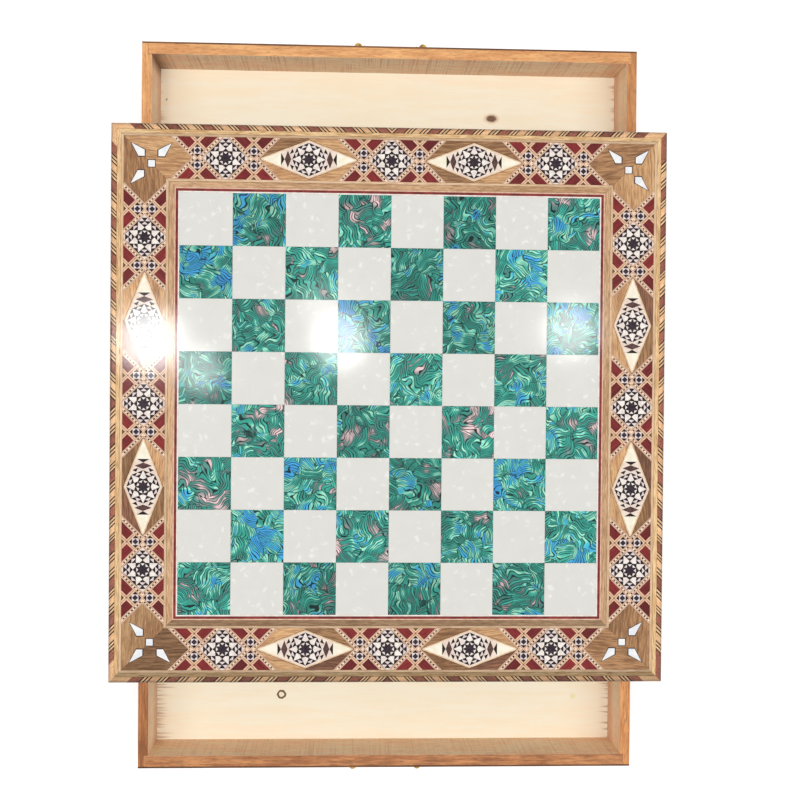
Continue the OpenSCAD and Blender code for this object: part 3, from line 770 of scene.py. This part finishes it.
# %% Strips and dots
PROUD, SUNK, ARM_STEP = 0.02, 0.5, 0.005
LINE_W, LINE_GLUE, MIDDLE_GLUE = 1.0, 0.12, 0.3
DOT_ROW, DOT_PITCH, DOTS = 1.7, 1.92, 7
NOTCH_LOW, PLAIN_Y, PLAIN_Q = 9.724, 11.35, 1.626
FOUR_ARMS = [(side, up) for side in (-1, 1) for up in (-1, 1)]


def arm(start, end, side, up, low=0.0):
    """A length of strip that starts between two distances from the crossing and runs out at 45 degrees."""
    corners = ((start, low), (end, low), (end, HALF_BAND), (start, HALF_BAND))
    return [(side * (x + y), up * y) for x, y in corners]


def above(cutting, outline, height, place):
    cutting.piece(outline, top=INLAY_Z + height, low=INLAY_Z - SUNK, place=place)


CROSSING_BED = [
    (0, STRIP_OVER), (HALF_BAND - STRIP_OVER, HALF_BAND), (HALF_BAND + STRIP_IN, HALF_BAND), (STRIP_IN, 0),
]
CROSSING_BED += [(x, -y) for x, y in reversed(CROSSING_BED[:-1])]
CROSSING_BED += [(-x, y) for x, y in reversed(CROSSING_BED[1:-1])]
LINE_LOW, LINE_HIGH = LINE_W - STRIP_OVER, STRIP_IN - LINE_W
LAYERS = (
    (LINE_GLUE - STRIP_OVER, LINE_LOW, 1), (LINE_LOW + MIDDLE_GLUE, LINE_HIGH - MIDDLE_GLUE, 0),
    (LINE_HIGH, STRIP_IN - LINE_GLUE, 1),
)
strips, dots = Cutting(), Cutting()
for place in CROSSINGS:
    strips.piece(CROSSING_BED, top=PANEL_Z, place=place, slot=2)
    for side, up in FOUR_ARMS:
        arm_z = INLAY_Z - ARM_STEP * (side + 1)
        for start, end, slot in LAYERS:
            strips.piece(arm(start, end, side, up), top=arm_z, place=place, slot=slot)
        for k in range(DOTS):
            row = DOT_ROW + DOT_PITCH * k + draws.uniform(-0.12, 0.12)
            half, wide = draws.uniform(0.52, 0.75), draws.uniform(0.48, 0.58)
            spot = place @ moved_by(side * (DOT_ROW + row), up * row) @ quarters(side * up / 2)
            above(dots, rectangle(-half, -wide, half, wide), PROUD, spot)
STRIP_WOODS = ["strip_cream", "strip_pink", "glue"]
strips.build("strip_pieces", STRIP_WOODS, "cream_wood", stands_for=["dotted_strips"])
dots.build("strip_dots", ["dot_brown"], "dark_wood")

# %% Eyes and plain strips
EYE_Y, EYE_HALF, PUPIL, SEAM = (STRIP_OVER + NOTCH_LOW) / 2, 2.4, 2.15, 0.55
eye_bone, eye_dark, plain_seams = Cutting(), Cutting(), Cutting()
for place in CROSSINGS:
    for y in (-EYE_Y, EYE_Y):
        above(eye_bone, rectangle(-EYE_HALF, y - EYE_HALF, EYE_HALF, y + EYE_HALF), PROUD, place)
        above(eye_dark, [(-PUPIL, y), (0, y - PUPIL), (PUPIL, y), (0, y + PUPIL)], 2 * PROUD, place)
    for side, up in FOUR_ARMS:
        low = (PLAIN_Y + STRIP_OVER) / 2 + 0.1
        above(plain_seams, arm(-PLAIN_Y - SEAM, SEAM - PLAIN_Y, side, up, low), PROUD, place)
eye_bone.build("eye_squares", ["lilac_bone"], "bone")
eye_dark.build("eye_centres", ["purple_black"], "dark_wood")
plain_seams.build("plain_strip_seams", ["strip_tan"], "cream_wood")

# %% Red pieces
LEG_TOP = ((PLAIN_Y + PLAIN_Q - STRIP_OVER) / 2, (PLAIN_Y + PLAIN_Q + STRIP_OVER) / 2)
RED = [(PLAIN_Q, PLAIN_Y), (HALF_BAND - NOTCH_LOW, HALF_BAND), (HALF_BAND - STRIP_OVER, HALF_BAND), LEG_TOP]
reds = Cutting()
for place in CROSSINGS:
    for outline in four_ways(RED):
        slant = math.copysign(45, outline[0][0] * outline[0][1])
        reds.piece(outline, place=place, grain=slant, inset=0.06)
reds.build("red_pieces", ["red_wood"], "red_wood", stands_for=["red_inlays"])

# %% [markdown]
# ## The corners
# Each corner has two walnut blocks that meet in a mitre, one from each side, with their grain along
# their own side. One of the two is mostly the lighter, so that the mitre shows. A square and three
# kites of white shell are let into them by hand, in dark glue, so each corner's set lies a little
# differently. The glue line round the shells is drawn wider than a joint, so that it also paints the
# shade at their edges.

# %% Corner blocks
BLOCK_START = STAR_PITCH + CROSSING + STRIP_IN
CORNER = [
    (BLOCK_START, -BAND_MID), (BLOCK_START + HALF_BAND, -BAND_OUT), (BAND_OUT - 0.05, -BAND_OUT),
    (BAND_IN - 0.05, -BAND_IN), (BLOCK_START + HALF_BAND, -BAND_IN),
]
BLOCK_WOODS = (((1, -0.8), (1, 1.0)), ((1, 0.9), (0, 0.3)), ((1, 1.1), (0, 0.3)), ((1, 1.1), (0, -0.9)))
front_blocks, side_blocks = Cutting(), Cutting()
for turn, woods in enumerate(BLOCK_WOODS):
    blocks = side_blocks if turn % 2 else front_blocks
    for side, (wood, tone) in zip((-1, 1), woods):
        outline, slant = [(side * x, y) for x, y in CORNER], draws.uniform(-9, 9)
        blocks.piece(outline, BED_Z, place=quarters(turn), grain=slant, inset=0.06, slot=wood, tone=tone)
front_blocks.build("corner_blocks_x", WALNUTS, "walnut", stands_for=["corner_blocks_front_rear"])
side_blocks.build("corner_blocks_y", WALNUTS, "walnut", stands_for=["corner_blocks_left_right"])

# %% Shell pieces of the corners
PEARL, PEARL_HALF, GLUE_AND_SHADE_LINE = BAND_OUT - 20.6, 2.35, 0.95
KITE = [(5.0, 5.0), (9.4, 5.0), (14.4, 14.4), (5.0, 9.4)]
SQUARE_PEARL = rectangle(-PEARL_HALF, -PEARL_HALF, PEARL_HALF, PEARL_HALF)
LAID_OUT_BY = ((0.4, 0.6), (0.3, 0.4), (1.6, 2.0), (1.0, 1.2))
glue_and_shade_lines, shells = Cutting(), Cutting()
for turn, (x, y) in zip((3, 0, 1, 2), LAID_OUT_BY):
    corner = quarters(turn)
    tip = corner @ Vector((1, -1, 0))
    outward = corner.inverted() @ Vector((math.copysign(x, tip.x), math.copysign(y, tip.y), 0))
    middle = Vector((PEARL, -PEARL, 0)) + outward
    for turns, outline in ((0, SQUARE_PEARL), (0, KITE), (2, KITE), (3, KITE)):
        slip = Vector((draws.uniform(-0.3, 0.3), draws.uniform(-0.3, 0.3), 0))
        spot = corner @ Matrix.Translation(middle + slip) @ quarters(turns)
        # Painted shade: the glue line round each shell is wider than a joint, to darken the shells' edges.
        glue_and_shade_lines.piece(resized(outline, GLUE_AND_SHADE_LINE), top=INLAY_Z - 0.01, place=spot)
        shells.piece(outline, top=INLAY_Z, place=spot)
glue_and_shade_lines.build("shell_glue_and_shade_lines", ["glue"], "dark_wood")
shells.build("corner_shell_pieces", ["white_shell"], "pearl", stands_for=["corner_pearls"])

# %% [markdown]
# ## Mitred strips
# A light strip runs inside the rim and a walnut one round the field, with a pale line on both sides
# of the band. Each side is a strip of its own with the grain along it, mitred at the corners. The
# strips at the front were cut from darker wood than the others.

# %% Strips
def mitred(inner, outer, gap=0.08):
    return [(gap - outer, -outer), (outer - gap, -outer), (inner - gap, -inner), (gap - inner, -inner)]


STRIP_SETS = (
    # name, inner and outer half width, wood, slot, CAD node, tone of each side from the front on
    ("edge_strip", EDGE_IN, EDGE_OUT, "edge_wood", "light_wood", "edge_strips", (-0.7, 0.9, 0.7, 0.8)),
    ("outer_line", BAND_OUT, EDGE_IN, "line_wood", "cream_wood", "outer_line", (-0.3, 0.5, 0.0, 0.8)),
    ("inner_line", WALNUT_OUT, BAND_IN, "line_wood", "cream_wood", "inner_line", (-0.1, 0.45, 0.45, 0.4)),
    ("walnut_strip", WALNUT_IN, WALNUT_OUT, "border_walnut", "walnut", "walnut_strips",
     (-0.25, 0.6, 0.6, 0.75)),
)
for name, inner, outer, wood, slot_name, node, tones in STRIP_SETS:
    frame_strips = Cutting()
    for turn, tone in enumerate(tones):
        frame_strips.piece(mitred(inner + 0.1, outer - 0.1), place=quarters(turn), tone=tone)
    frame_strips.build(name + "_pieces", [wood], slot_name, stands_for=[node])

# %% [markdown]
# ## Rope banding
# The rim is edged with rope banding: short slanted sticks of light and brown wood, with bundles of
# thin dark and pale slivers between them. Each stick here is a solid with a rounded outer edge, and
# its two cut faces lean the same way. The pattern leans the other way in the second half of each
# side, so one half is made, cut at the mitre and in the middle, mirrored, and turned to all sides.
# The foot of the case has the same banding, thinner.

# %% Rope woods
ROPE_WOODS = {
    # name: light, dark, band, wave, pores, spread, painted shade at the outer edge
    "rope_light": ((236, 192, 146), (208, 160, 116), 1.0, 0.4, 0.5, 0.14, 0.7),
    "rope_brown": ((168, 106, 82), (122, 70, 56), 1.0, 0.4, 0.5, 0.16, 0.7),
    "rope_olive": ((46, 36, 30), (32, 24, 22), 1.0, 0.2, 0.5, 0.1),
    "rope_cream": ((236, 194, 148), (210, 164, 118), 1.0, 0.2, 0.5, 0.12, 0.7),
}
for name, recipe in ROPE_WOODS.items():
    lacquered_wood(name, *recipe)
LIGHT, BROWN, OLIVE, CREAM = range(4)
print("rope woods:", list(ROPE_WOODS))

# %% Rope pattern
CORNER_STICK, OLIVE_SHARE, CREAM_SHARE = 17.0, 0.17, 0.245


def rope_sticks(length, first):
    """Stick widths in mm with their wood, from the corner to past the middle of a side."""
    sticks, at = [(CORNER_STICK, first)], CORNER_STICK
    cycle = [(7.3, BROWN), (6.3, None), (5.5, LIGHT), (6.4, None)]
    while at < length:
        for width, wood in cycle:
            if at >= length:
                break
            width *= draws.uniform(0.9, 1.1)
            if wood is None:
                dark, pale = (OLIVE_SHARE * width, OLIVE), (CREAM_SHARE * width, CREAM)
                sticks += [dark, pale, dark, pale, dark]
            else:
                sticks.append((width, wood))
            at += width
    return sticks


def rope_section(width, height, rounding):
    """Points (in from the face, up) from the lower outer edge, over the top, to the inner edge."""
    turns = (0, math.pi / 6, math.pi / 3, math.pi / 2)
    arc = [(rounding * (1 - math.cos(a)), height - rounding * (1 - math.sin(a))) for a in turns]
    return [(0.0, 0.0)] + arc + [(width, height)]


# %% One half of a side
PAST_MIDDLE, STICK_GAP = 25.0, 0.02


def new_rope():
    bm = bmesh.new()
    return bm, bm.verts.layers.float_vector.new("grain"), bm.verts.layers.float.new("tone")


def rope_half(section, level, shades, first):
    """Half of the front side's banding, as a mesh in mm, from the left corner to the middle."""
    bm, grain, tone = new_rope()
    reach = [0.0]
    for a, b in zip(section, section[1:]):
        reach.append(reach[-1] + math.dist(a, b))
    outline = [(d, z, t) for (d, z), t in zip(section, reach)] + [(section[-1][0], 0.0, reach[-1])]
    at = -CASE - reach[-1]
    for width, wood in rope_sticks(CASE + PAST_MIDDLE, first):
        shift, shade, rings = draws.uniform(0, 2), draws.uniform(*shades), []
        for x in (at + STICK_GAP, at + width - STICK_GAP):
            rings.append([bm.verts.new((x + t, d - CASE, level + z)) for d, z, t in outline])
            for vert, (d, z, t) in zip(rings[-1], outline):
                vert[grain], vert[tone] = (t * MM + shift, x * MM + shift, d * MM), shade
        start, end = rings
        made = [bm.faces.new(start), bm.faces.new(list(reversed(end)))]
        for i in range(len(outline)):
            j = (i + 1) % len(outline)
            made.append(bm.faces.new([start[j], start[i], end[i], end[j]]))
        for face in made:
            face.material_index = wood
        at += width
    for middle, outward in (((-CASE, -CASE, 0), (-1, 1, 0)), ((0, 0, 0), (1, 0, 0))):
        everything = bm.verts[:] + bm.edges[:] + bm.faces[:]
        bmesh.ops.bisect_plane(bm, geom=everything, plane_co=middle, plane_no=outward, clear_outer=True)
        bmesh.ops.holes_fill(bm, edges=[e for e in bm.edges if e.is_boundary])
    bmesh.ops.recalc_face_normals(bm, faces=bm.faces[:])
    mesh = bpy.data.meshes.new("half")
    bm.to_mesh(mesh)
    bm.free()
    return mesh


# %% Rope sides
def rope_ring(name, section, level, sides, stands_for, shades=(0.2, 1.0), first=LIGHT):
    """Banding along the given sides, as one object."""
    joined = new_rope()[0]
    for turn in sides:
        half = rope_half(section, level, shades, first)
        for flip in (1, -1):
            copy = half.copy()
            copy.transform(Matrix.Scale(MM, 4) @ quarters(turn) @ Matrix.Diagonal((flip, 1, 1, 1)))
            if flip < 0:
                copy.flip_normals()
            joined.from_mesh(copy)
            bpy.data.meshes.remove(copy)
        bpy.data.meshes.remove(half)
    mesh = bpy.data.meshes.new(name)
    joined.to_mesh(mesh)
    joined.free()
    return add_piece(name, mesh, ROPE_WOODS, "case", stands_for)


RIM_SECTION = rope_section(CASE - EDGE_OUT, RIM_Z - ROPE_Z, 1.4)
FOOT_SECTION = rope_section(1.5, 4.0, 0.3)
RIM_SIDES = (("front", -0.8, LIGHT), ("right", 0.9, BROWN), ("rear", 0.3, LIGHT), ("left", 0.6, LIGHT))
for turn, (side, low, first) in enumerate(RIM_SIDES):
    rope_ring("rim_banding_" + side, RIM_SECTION, ROPE_Z, [turn], ["rope_" + side], (low, low + 0.8), first)
rope_ring("foot_banding_sticks", FOOT_SECTION, 0.0, range(4), ["foot_banding"])

# %% [markdown]
# ## The outside of the case
# Walnut veneer covers the four sides, with the grain along each side and a pale line let in near its
# lower and upper edge. The lines are flush with the veneer, so they are a part of its colour. The
# core behind it is plain sanded wood.

# %% Side veneer
def flat_grain(tree, light, dark, band, wave, pores, turn=0.0, length=1.0):
    """Grain in the part's own frame, turned by some degrees, its streaks length times as long."""
    place = own_place(tree)
    if turn:
        place = turn_vector(place, math.radians(turn))
    return grained(place * (1.0 / length, 1.0, 1.0), light, dark, band, wave, pores)


LINE_INSIDE = 3.0


def side_veneer(name, light, dark, low, high, turn=0.0):
    """Veneer with a pale line just inside its lower and upper edge, which lie at low and high."""
    tree, shader = new_material(name)
    grain = flat_grain(tree, light, dark, 3.5, 7.0, 0.5, turn, 3.0)
    middle, half = (low + high) / 2 * MM, ((high - low) / 2 - LINE_INSIDE) * MM
    from_middle = (part(own_place(tree), 2) - middle).math("ABSOLUTE")
    line = fade((from_middle - half).math("ABSOLUTE"), 0.00035, 0.00045, 1.0, 0.0)
    clear_coat(shader, mix(line, grain, srgb(226, 194, 146)))


WALNUT_TONES, VENEER_LOW = ((172, 128, 88), (118, 82, 54)), 4.0
side_veneer("veneer_along_x", *WALNUT_TONES, VENEER_LOW, ROPE_Z)
side_veneer("veneer_along_y", *WALNUT_TONES, VENEER_LOW, ROPE_Z, turn=90)
side_veneer("drawer_facing_wood", (140, 98, 68), (92, 62, 44), DRAWER_LOW, DRAWER_TOP)
paint("veneer_along_x", "veneer_front", "veneer_rear")
paint("veneer_along_y", "veneer_left", "veneer_right")
paint("drawer_facing_wood", "front_drawer_facing", "rear_drawer_facing")
print("outside veneered")

# %% Raw woods
def raw_finish(shader, color, grain, roughness, depth):
    """Unlacquered wood of that colour: a dull face with the pores of its grain left open."""
    pores = bump(grain.beside("Height"), depth)
    plug(shader, {"Base Color": color, "Roughness": roughness, "Normal": pores})


for name, turn in (("core_along_x", 0.0), ("core_along_y", 90.0)):
    tree, shader = new_material(name)
    grain = flat_grain(tree, (214, 178, 132), (182, 142, 98), 2.2, 2.0, 0.5, turn)
    raw_finish(shader, grain, grain, roughness=0.62, depth=0.00005)
paint("core_along_x", "base_panel", "center_divider", "rail_front", "rail_rear", "top_board")
paint("core_along_y", "side_left", "side_right")
print("core painted")

# %% [markdown]
# ## The drawers
# The drawers are plain joinery: stained beech boards, orange on the sanded rim and paler inside,
# where the saw has left fine upright marks. The front board laps into the side boards. Each board
# here is a solid with softened edges, so that the rim catches the light.

# %% Saw marks group
saw_marks = Group("Saw marks", dict(Place="Vector", Pitch="Float", Amount="Float"), dict(Mask="Float"))
place = saw_marks["Place"]
fine = noise(join(part(place, 0) / saw_marks["Pitch"], part(place, 2) * 9.0))
mask = fade(fine, 0.46, 0.7) * fade(noise(place, 38.0, 1.0), 0.25, 0.55)
saw_marks.close(Mask=mask * saw_marks["Amount"])

# %% Beech
SMUDGE = (-DRAWER_IN * MM, (DRAWER_FACE["rear"] - FRONT_INSIDE) * MM, 0.0)


def beech(name, light, dark, marks=0.0, blotches=0.45, roughness=0.55, pores=0.45, low=0.0):
    """Stained beech. marks, blotches and low: how strong are saw marks, stain, and painted shade near the
    floor.
    """
    tree, shader = new_material(name)
    place = grain_place(tree)
    grain = color = grained(place, light, dark, 2.4, 3.0, pores)
    mottle = noise(place * (0.4, 1.0, 1.0), 130.0, 3.0)
    color = mix(fade(mottle, 0.45, 0.75, 0.0, blotches), color, srgb(*[0.72 * v for v in dark]))
    if marks:
        mask = saw_marks.use(Place=place, Pitch=1.1 * MM, Amount=marks)
        color = mix(mask, color, mix(0.6, color, srgb(200, 128, 90)))
    if low:
        # Painted shade: the walls darken towards the floor of the drawer, where less light reaches.
        floor_shaded = mix(1.0, color, srgb(214, 176, 166), "MULTIPLY")
        color = mix(fade(part(place, 2), 0.036, 0.016, 0.0, low), color, floor_shaded)
        # The smudge is a real dark stain in one inner corner of the rear drawer.
        flat = own_place(tree) * (1.0, 1.0, 0.0)
        away = mottle.times_plus(0.012, flat.math("DISTANCE", SMUDGE))
        color = mix(fade(away, 0.018, 0.006, 0.0, 0.75), color, srgb(132, 84, 58))
    raw_finish(shader, color, grain, roughness, depth=0.00006)


# %% Beech of the rims and the insides
RIMS = {
    "front": ((210, 146, 94), (166, 104, 62), 0.6), "front_left": ((192, 126, 74), (150, 90, 48), 0.6),
    "front_right": ((240, 170, 106), (200, 130, 78), 0.4),
    "rear": ((242, 182, 120), (216, 150, 94), 0.2), "rear_right": ((210, 146, 90), (182, 118, 68), 0.3),
}
for part_name, (light, dark, blotches) in RIMS.items():
    beech("beech_rim_" + part_name, light, dark, blotches=blotches, roughness=0.45, pores=0.6)
INSIDES = {
    # board: light, dark, saw marks, blotches, painted shade near the floor
    "front": ((255, 230, 192), (255, 206, 160), 0.6, 0.06, 0.15),
    "rear": ((255, 232, 196), (255, 206, 164), 0.9, 0.06, 0.2),
    "left": ((255, 234, 202), (255, 216, 178), 0.25, 0.03, 0.6),
    "right": ((255, 228, 190), (255, 208, 168), 0.25, 0.03, 0.6),
}
for part_name, (light, dark, marks, blotches, low) in INSIDES.items():
    beech("beech_inside_" + part_name, light, dark, marks, blotches, low=low)
beech("beech_outside", (206, 138, 86), (160, 98, 58), roughness=0.5)
print("beech made:", len(RIMS) + len(INSIDES) + 1)

# %% Boards
INSIDE, RIM, OUTSIDE = range(3)
SOFT_EDGE = 0.45


def board(name, outline, node, body, along, woods):
    """An upright board drawn from above. along is the grain direction in degrees."""
    cutting = Cutting()
    cutting.piece(outline, top=DRAWER_TOP, low=DRAWER_LOW, grain=along)
    made = cutting.build(name, woods, "drawer_wood", body, [node])
    farthest = max(abs(y) for x, y in outline)
    for face in made.data.polygons:
        middle, normal = face.center / MM, face.normal
        outer_side = abs(middle.x) > DRAWER_HALF - 0.1
        outer_end = abs(middle.y) > farthest - 0.1 and abs(normal.y) > 0.5
        outside = outer_side or normal.z < -0.5 or (outer_end and not node.endswith("_back"))
        face.material_index = RIM if normal.z > 0.5 else OUTSIDE if outside else INSIDE
    soften = made.modifiers.new("softened edges", "BEVEL")
    soften.width, soften.segments, soften.limit_method = SOFT_EDGE * MM, 2, "ANGLE"


for drawer, outward in (("front", -1), ("rear", 1)):
    body = drawer + "_drawer"
    steps = (FACING, FRONT_INSIDE, BACK_INSIDE, BACK_OUTSIDE)
    front, inside, back_inside, back = (outward * (DRAWER_FACE[drawer] - behind) for behind in steps)
    woods = ["beech_inside_" + drawer, "beech_rim_" + drawer, "beech_outside"]
    board(drawer + "_front_board", rectangle(-LIP, inside, LIP, front), body + "_front", body, 0, woods)
    back_outline = rectangle(-DRAWER_IN, back, DRAWER_IN, back_inside)
    board(drawer + "_back_board", back_outline, body + "_back", body, 0, woods)
    for side, sign in (("left", -1), ("right", 1)):
        lap = [(DRAWER_HALF, front), (LIP, front), (LIP, inside), (DRAWER_IN, inside)]
        outline = [(sign * x, y) for x, y in [(DRAWER_IN, back), (DRAWER_HALF, back)] + lap]
        corner = f"{drawer}_{side}" if f"{drawer}_{side}" in RIMS else drawer
        woods = ["beech_inside_" + side, "beech_rim_" + corner, "beech_outside"]
        board(f"{drawer}_{side}_board", outline, f"{body}_{side}", body, 90, woods)

# %% [markdown]
# ## Pine bottoms
# The bottoms are thin raw pine, very pale, with faint lines along the drawer. A dark knot lies in
# the rear one and a ring-shaped knot in the front one. Where the boards were glued, the stain crept
# into the end grain as short brown streaks. All of this is flat, so it is drawn by the shader, at
# real places and sizes.

# %% Knot group
knot = Group(
    "Knot",
    dict(Place="Vector", Middle="Vector", Stretch="Vector", Radius="Float"),
    dict(Core="Float", Ring="Float"),
)
place = knot["Place"]
off = centred_noise(place, 420.0).times_plus((0.0012, 0.0012, 0.0), place - knot["Middle"])
away = (off * knot["Stretch"] * (1.0, 1.0, 0.0)).math("LENGTH") / knot["Radius"]
ring = fade((away - 1.0).math("ABSOLUTE"), 0.12, 0.4, 1.0, 0.0)
knot.close(Core=fade(away, 0.6, 1.05, 1.0, 0.0), Ring=ring)

# %% [markdown]
# The streaks reach in from a wall of the drawer. The group takes the wall's place along X, the
# direction that leads into the drawer, how long the longest streak is and how far apart they lie.

# %% Creeping stain group
stain = Group(
    "Creeping stain",
    dict(Place="Vector", Wall="Float", Into="Float", Length="Float", Pitch="Float"), dict(Mask="Float"),
)
place, wall = stain["Place"], stain["Wall"]
depth = (part(place, 0) - wall) * stain["Into"]
reach = noise(join(part(place, 1) / stain["Pitch"], wall), detail=3.0, roughness=0.6)
left_over = fade(reach, 0.4, 0.75) * stain["Length"] - depth
stain.close(Mask=fade(left_over, 0.0, 0.007))

# %% Pine
ROUND = (1.0, 1.0, 1.0)
SPOTS = {
    # drawer: for each spot its middle, radius, stretch, and the share and tint of its ring and core
    "front": (
        ((-79.3, -224.2), 2.75, ROUND, (("Core", 0.12, (206, 150, 96)), ("Ring", 1.0, (104, 74, 34)))),
        ((146.7, -226.0), 2.6, ROUND, (("Core", 0.7, (240, 232, 168)),)),
    ),
    "rear": (
        ((78.9, 221.0), 3.2, (0.66, 1.0, 1.0),
         (("Ring", 0.4, (220, 176, 130)), ("Core", 1.0, (122, 92, 74)))),
        ((-169.9, 231.2), 0.9, ROUND, (("Core", 0.7, (96, 88, 82)),)),
    ),
}
STAINS = {
    # drawer: for each wall its place, the way in, the longest streak and their pitch
    "front": ((-DRAWER_IN, 1.0, 18.0, 1.6), (DRAWER_IN, -1.0, 13.0, 2.2)),
    "rear": ((DRAWER_IN, -1.0, 8.0, 4.0), (-DRAWER_IN, 1.0, 7.0, 5.0)),
}
for drawer in ("front", "rear"):
    tree, shader = new_material("pine_" + drawer)
    grain = color = flat_grain(tree, (255, 248, 226), (255, 243, 216), 6.0, 4.0, 0.02)
    place = own_place(tree)
    for (x, y), radius, stretch, tints in SPOTS[drawer]:
        spot = knot.use(Place=place, Middle=(x * MM, y * MM, 0.0), Stretch=stretch, Radius=radius * MM)
        for mask, amount, tint in tints:
            color = mix(spot.beside(mask) * amount, color, srgb(*tint))
    for wall, into, length, pitch in STAINS[drawer]:
        mask = stain.use(Place=place, Wall=wall * MM, Into=into, Length=length * MM, Pitch=pitch * MM)
        color = mix(mask * 0.6, color, srgb(176, 128, 84))
    raw_finish(shader, color, grain, roughness=0.7, depth=0.00004)
    paint("pine_" + drawer, drawer + "_drawer_bottom")
print("pine bottoms painted")

# %% [markdown]
# ## Brass
# The pulls are cast brass that has dulled: bright where fingers rub, browner in between. Metal shows
# mostly what surrounds it, so its colour is its reflection and the dullness goes in the roughness.

# %% Brass
tree, shader = new_material("dulled_brass")
patina = noise(own_place(tree), 420.0, 4.0)
plug(shader, {
    "Base Color": mix(fade(patina, 0.4, 0.7), srgb(206, 166, 92), srgb(140, 104, 56)), "Metallic": 1.0,
    "Roughness": fade(patina, 0.3, 0.7, 0.24, 0.5), "Normal": bump(patina, 0.00004),
})
paint("dulled_brass", "front_pull_posts", "rear_pull_posts", "front_bail", "rear_bail")
print("brass painted")

# %% [markdown]
# ## Floor, light and camera
# The box stands on a white floor in a white room. One large soft lamp hangs overhead, so that light
# reaches the floors of the drawers, and the world fills in evenly from all around. For the camera the
# floor glows a little, more so far from the lamp, so that it reads as white up to the horizon while it
# still takes the box's shadow. A few small lamps near the ceiling show as soft spots in the lacquer.

# %% Floor
def seen_directly(tree):
    """1 where the camera sees the spot itself, in a reflection or through glass, and 0 for light."""
    path = put("LightPath", "Is Camera Ray", tree=tree)
    seen = path + path.beside("Is Glossy Ray")
    return seen.math("ADD", path.beside("Is Transmission Ray"), clamp=True)


bpy.ops.mesh.primitive_plane_add(size=14.0, location=(0, 0, 0))
studio_floor = bpy.context.object
studio_floor.name = "studio_floor"
tree, shader = new_material("studio_white")
plug(shader, {"Base Color": (0.82, 0.82, 0.82, 1.0), "Roughness": 0.9, "Specular IOR Level": 0.0})
matt = Wire(shader.outputs[0])
strength = fade(own_place(tree).math("LENGTH"), 0.6, 3.5, 0.42, 0.72)
glow = put("Emission", 0, {"Color": (1.0, 1.0, 1.0, 1.0), "Strength": strength})
both = put("AddShader", 0, {0: matt, 1: glow})
choice = put("MixShader", 0, {0: seen_directly(tree), 1: matt, 2: both})
plug(tree.nodes["Material Output"], {"Surface": choice})
studio_floor.data.materials.append(MATERIALS["studio_white"])

# %% World
LIGHT_LEVEL = 0.46
world = bpy.data.worlds.new("white_room")
bpy.context.scene.world = world
world.use_nodes = True
strength = fade(seen_directly(world.node_tree), 0.0, 1.0, LIGHT_LEVEL, 1.0)
plug(world.node_tree.nodes["Background"], {"Color": (1.0, 1.0, 1.0, 1.0), "Strength": strength})
print("world level:", LIGHT_LEVEL)

# %% Lamps
def lamp(name, place, size, power, width=None):
    """A flat lamp that shines straight down: a disc, or a rectangle where it gets a width."""
    data = bpy.data.lights.new(name, "AREA")
    data.shape, data.size, data.energy = "DISK" if width is None else "RECTANGLE", size, power
    data.size_y = width or size
    made = bpy.data.objects.new(name, data)
    made.location = place
    bpy.context.scene.collection.objects.link(made)
    return made


overhead = lamp("overhead_soft_box", (0.0, 0.0, 2.0), 3.4, 24.6, 0.5)
overhead.visible_glossy = False
CEILING = 2.07
CEILING_LAMPS = (
    # name, place along X and Y, size, power
    ("left", -0.487, 0.115, 0.14, 2.6), ("middle", -0.045, 0.119, 0.12, 1.5),
    ("right", 0.499, 0.148, 0.12, 1.3), ("low", -0.37, 0.046, 0.10, 0.6),
    ("high", -0.09, 0.205, 0.10, 0.2),
)
for name, x, y, size, power in CEILING_LAMPS:
    lamp("ceiling_lamp_" + name, (x, y, CEILING), size, power)
print("lamps:", 1 + len(CEILING_LAMPS))

# %% Camera
camera_data = bpy.data.cameras.new("overhead_camera")
camera_data.sensor_width, camera_data.lens, camera_data.clip_start = 36.0, 55.2, 0.02
camera = bpy.data.objects.new("overhead_camera", camera_data)
camera.matrix_world = (
    Matrix.Translation((-0.03248, 0.01487, 0.9568))
    @ Matrix.Rotation(-0.0122, 4, "X") @ Matrix.Rotation(-0.0451, 4, "Y") @ Matrix.Rotation(0.008, 4, "Z")
)
bpy.context.scene.collection.objects.link(camera)
bpy.context.scene.camera = camera
bpy.context.scene.view_settings.view_transform = "Standard"
print("camera at", camera.location[:])
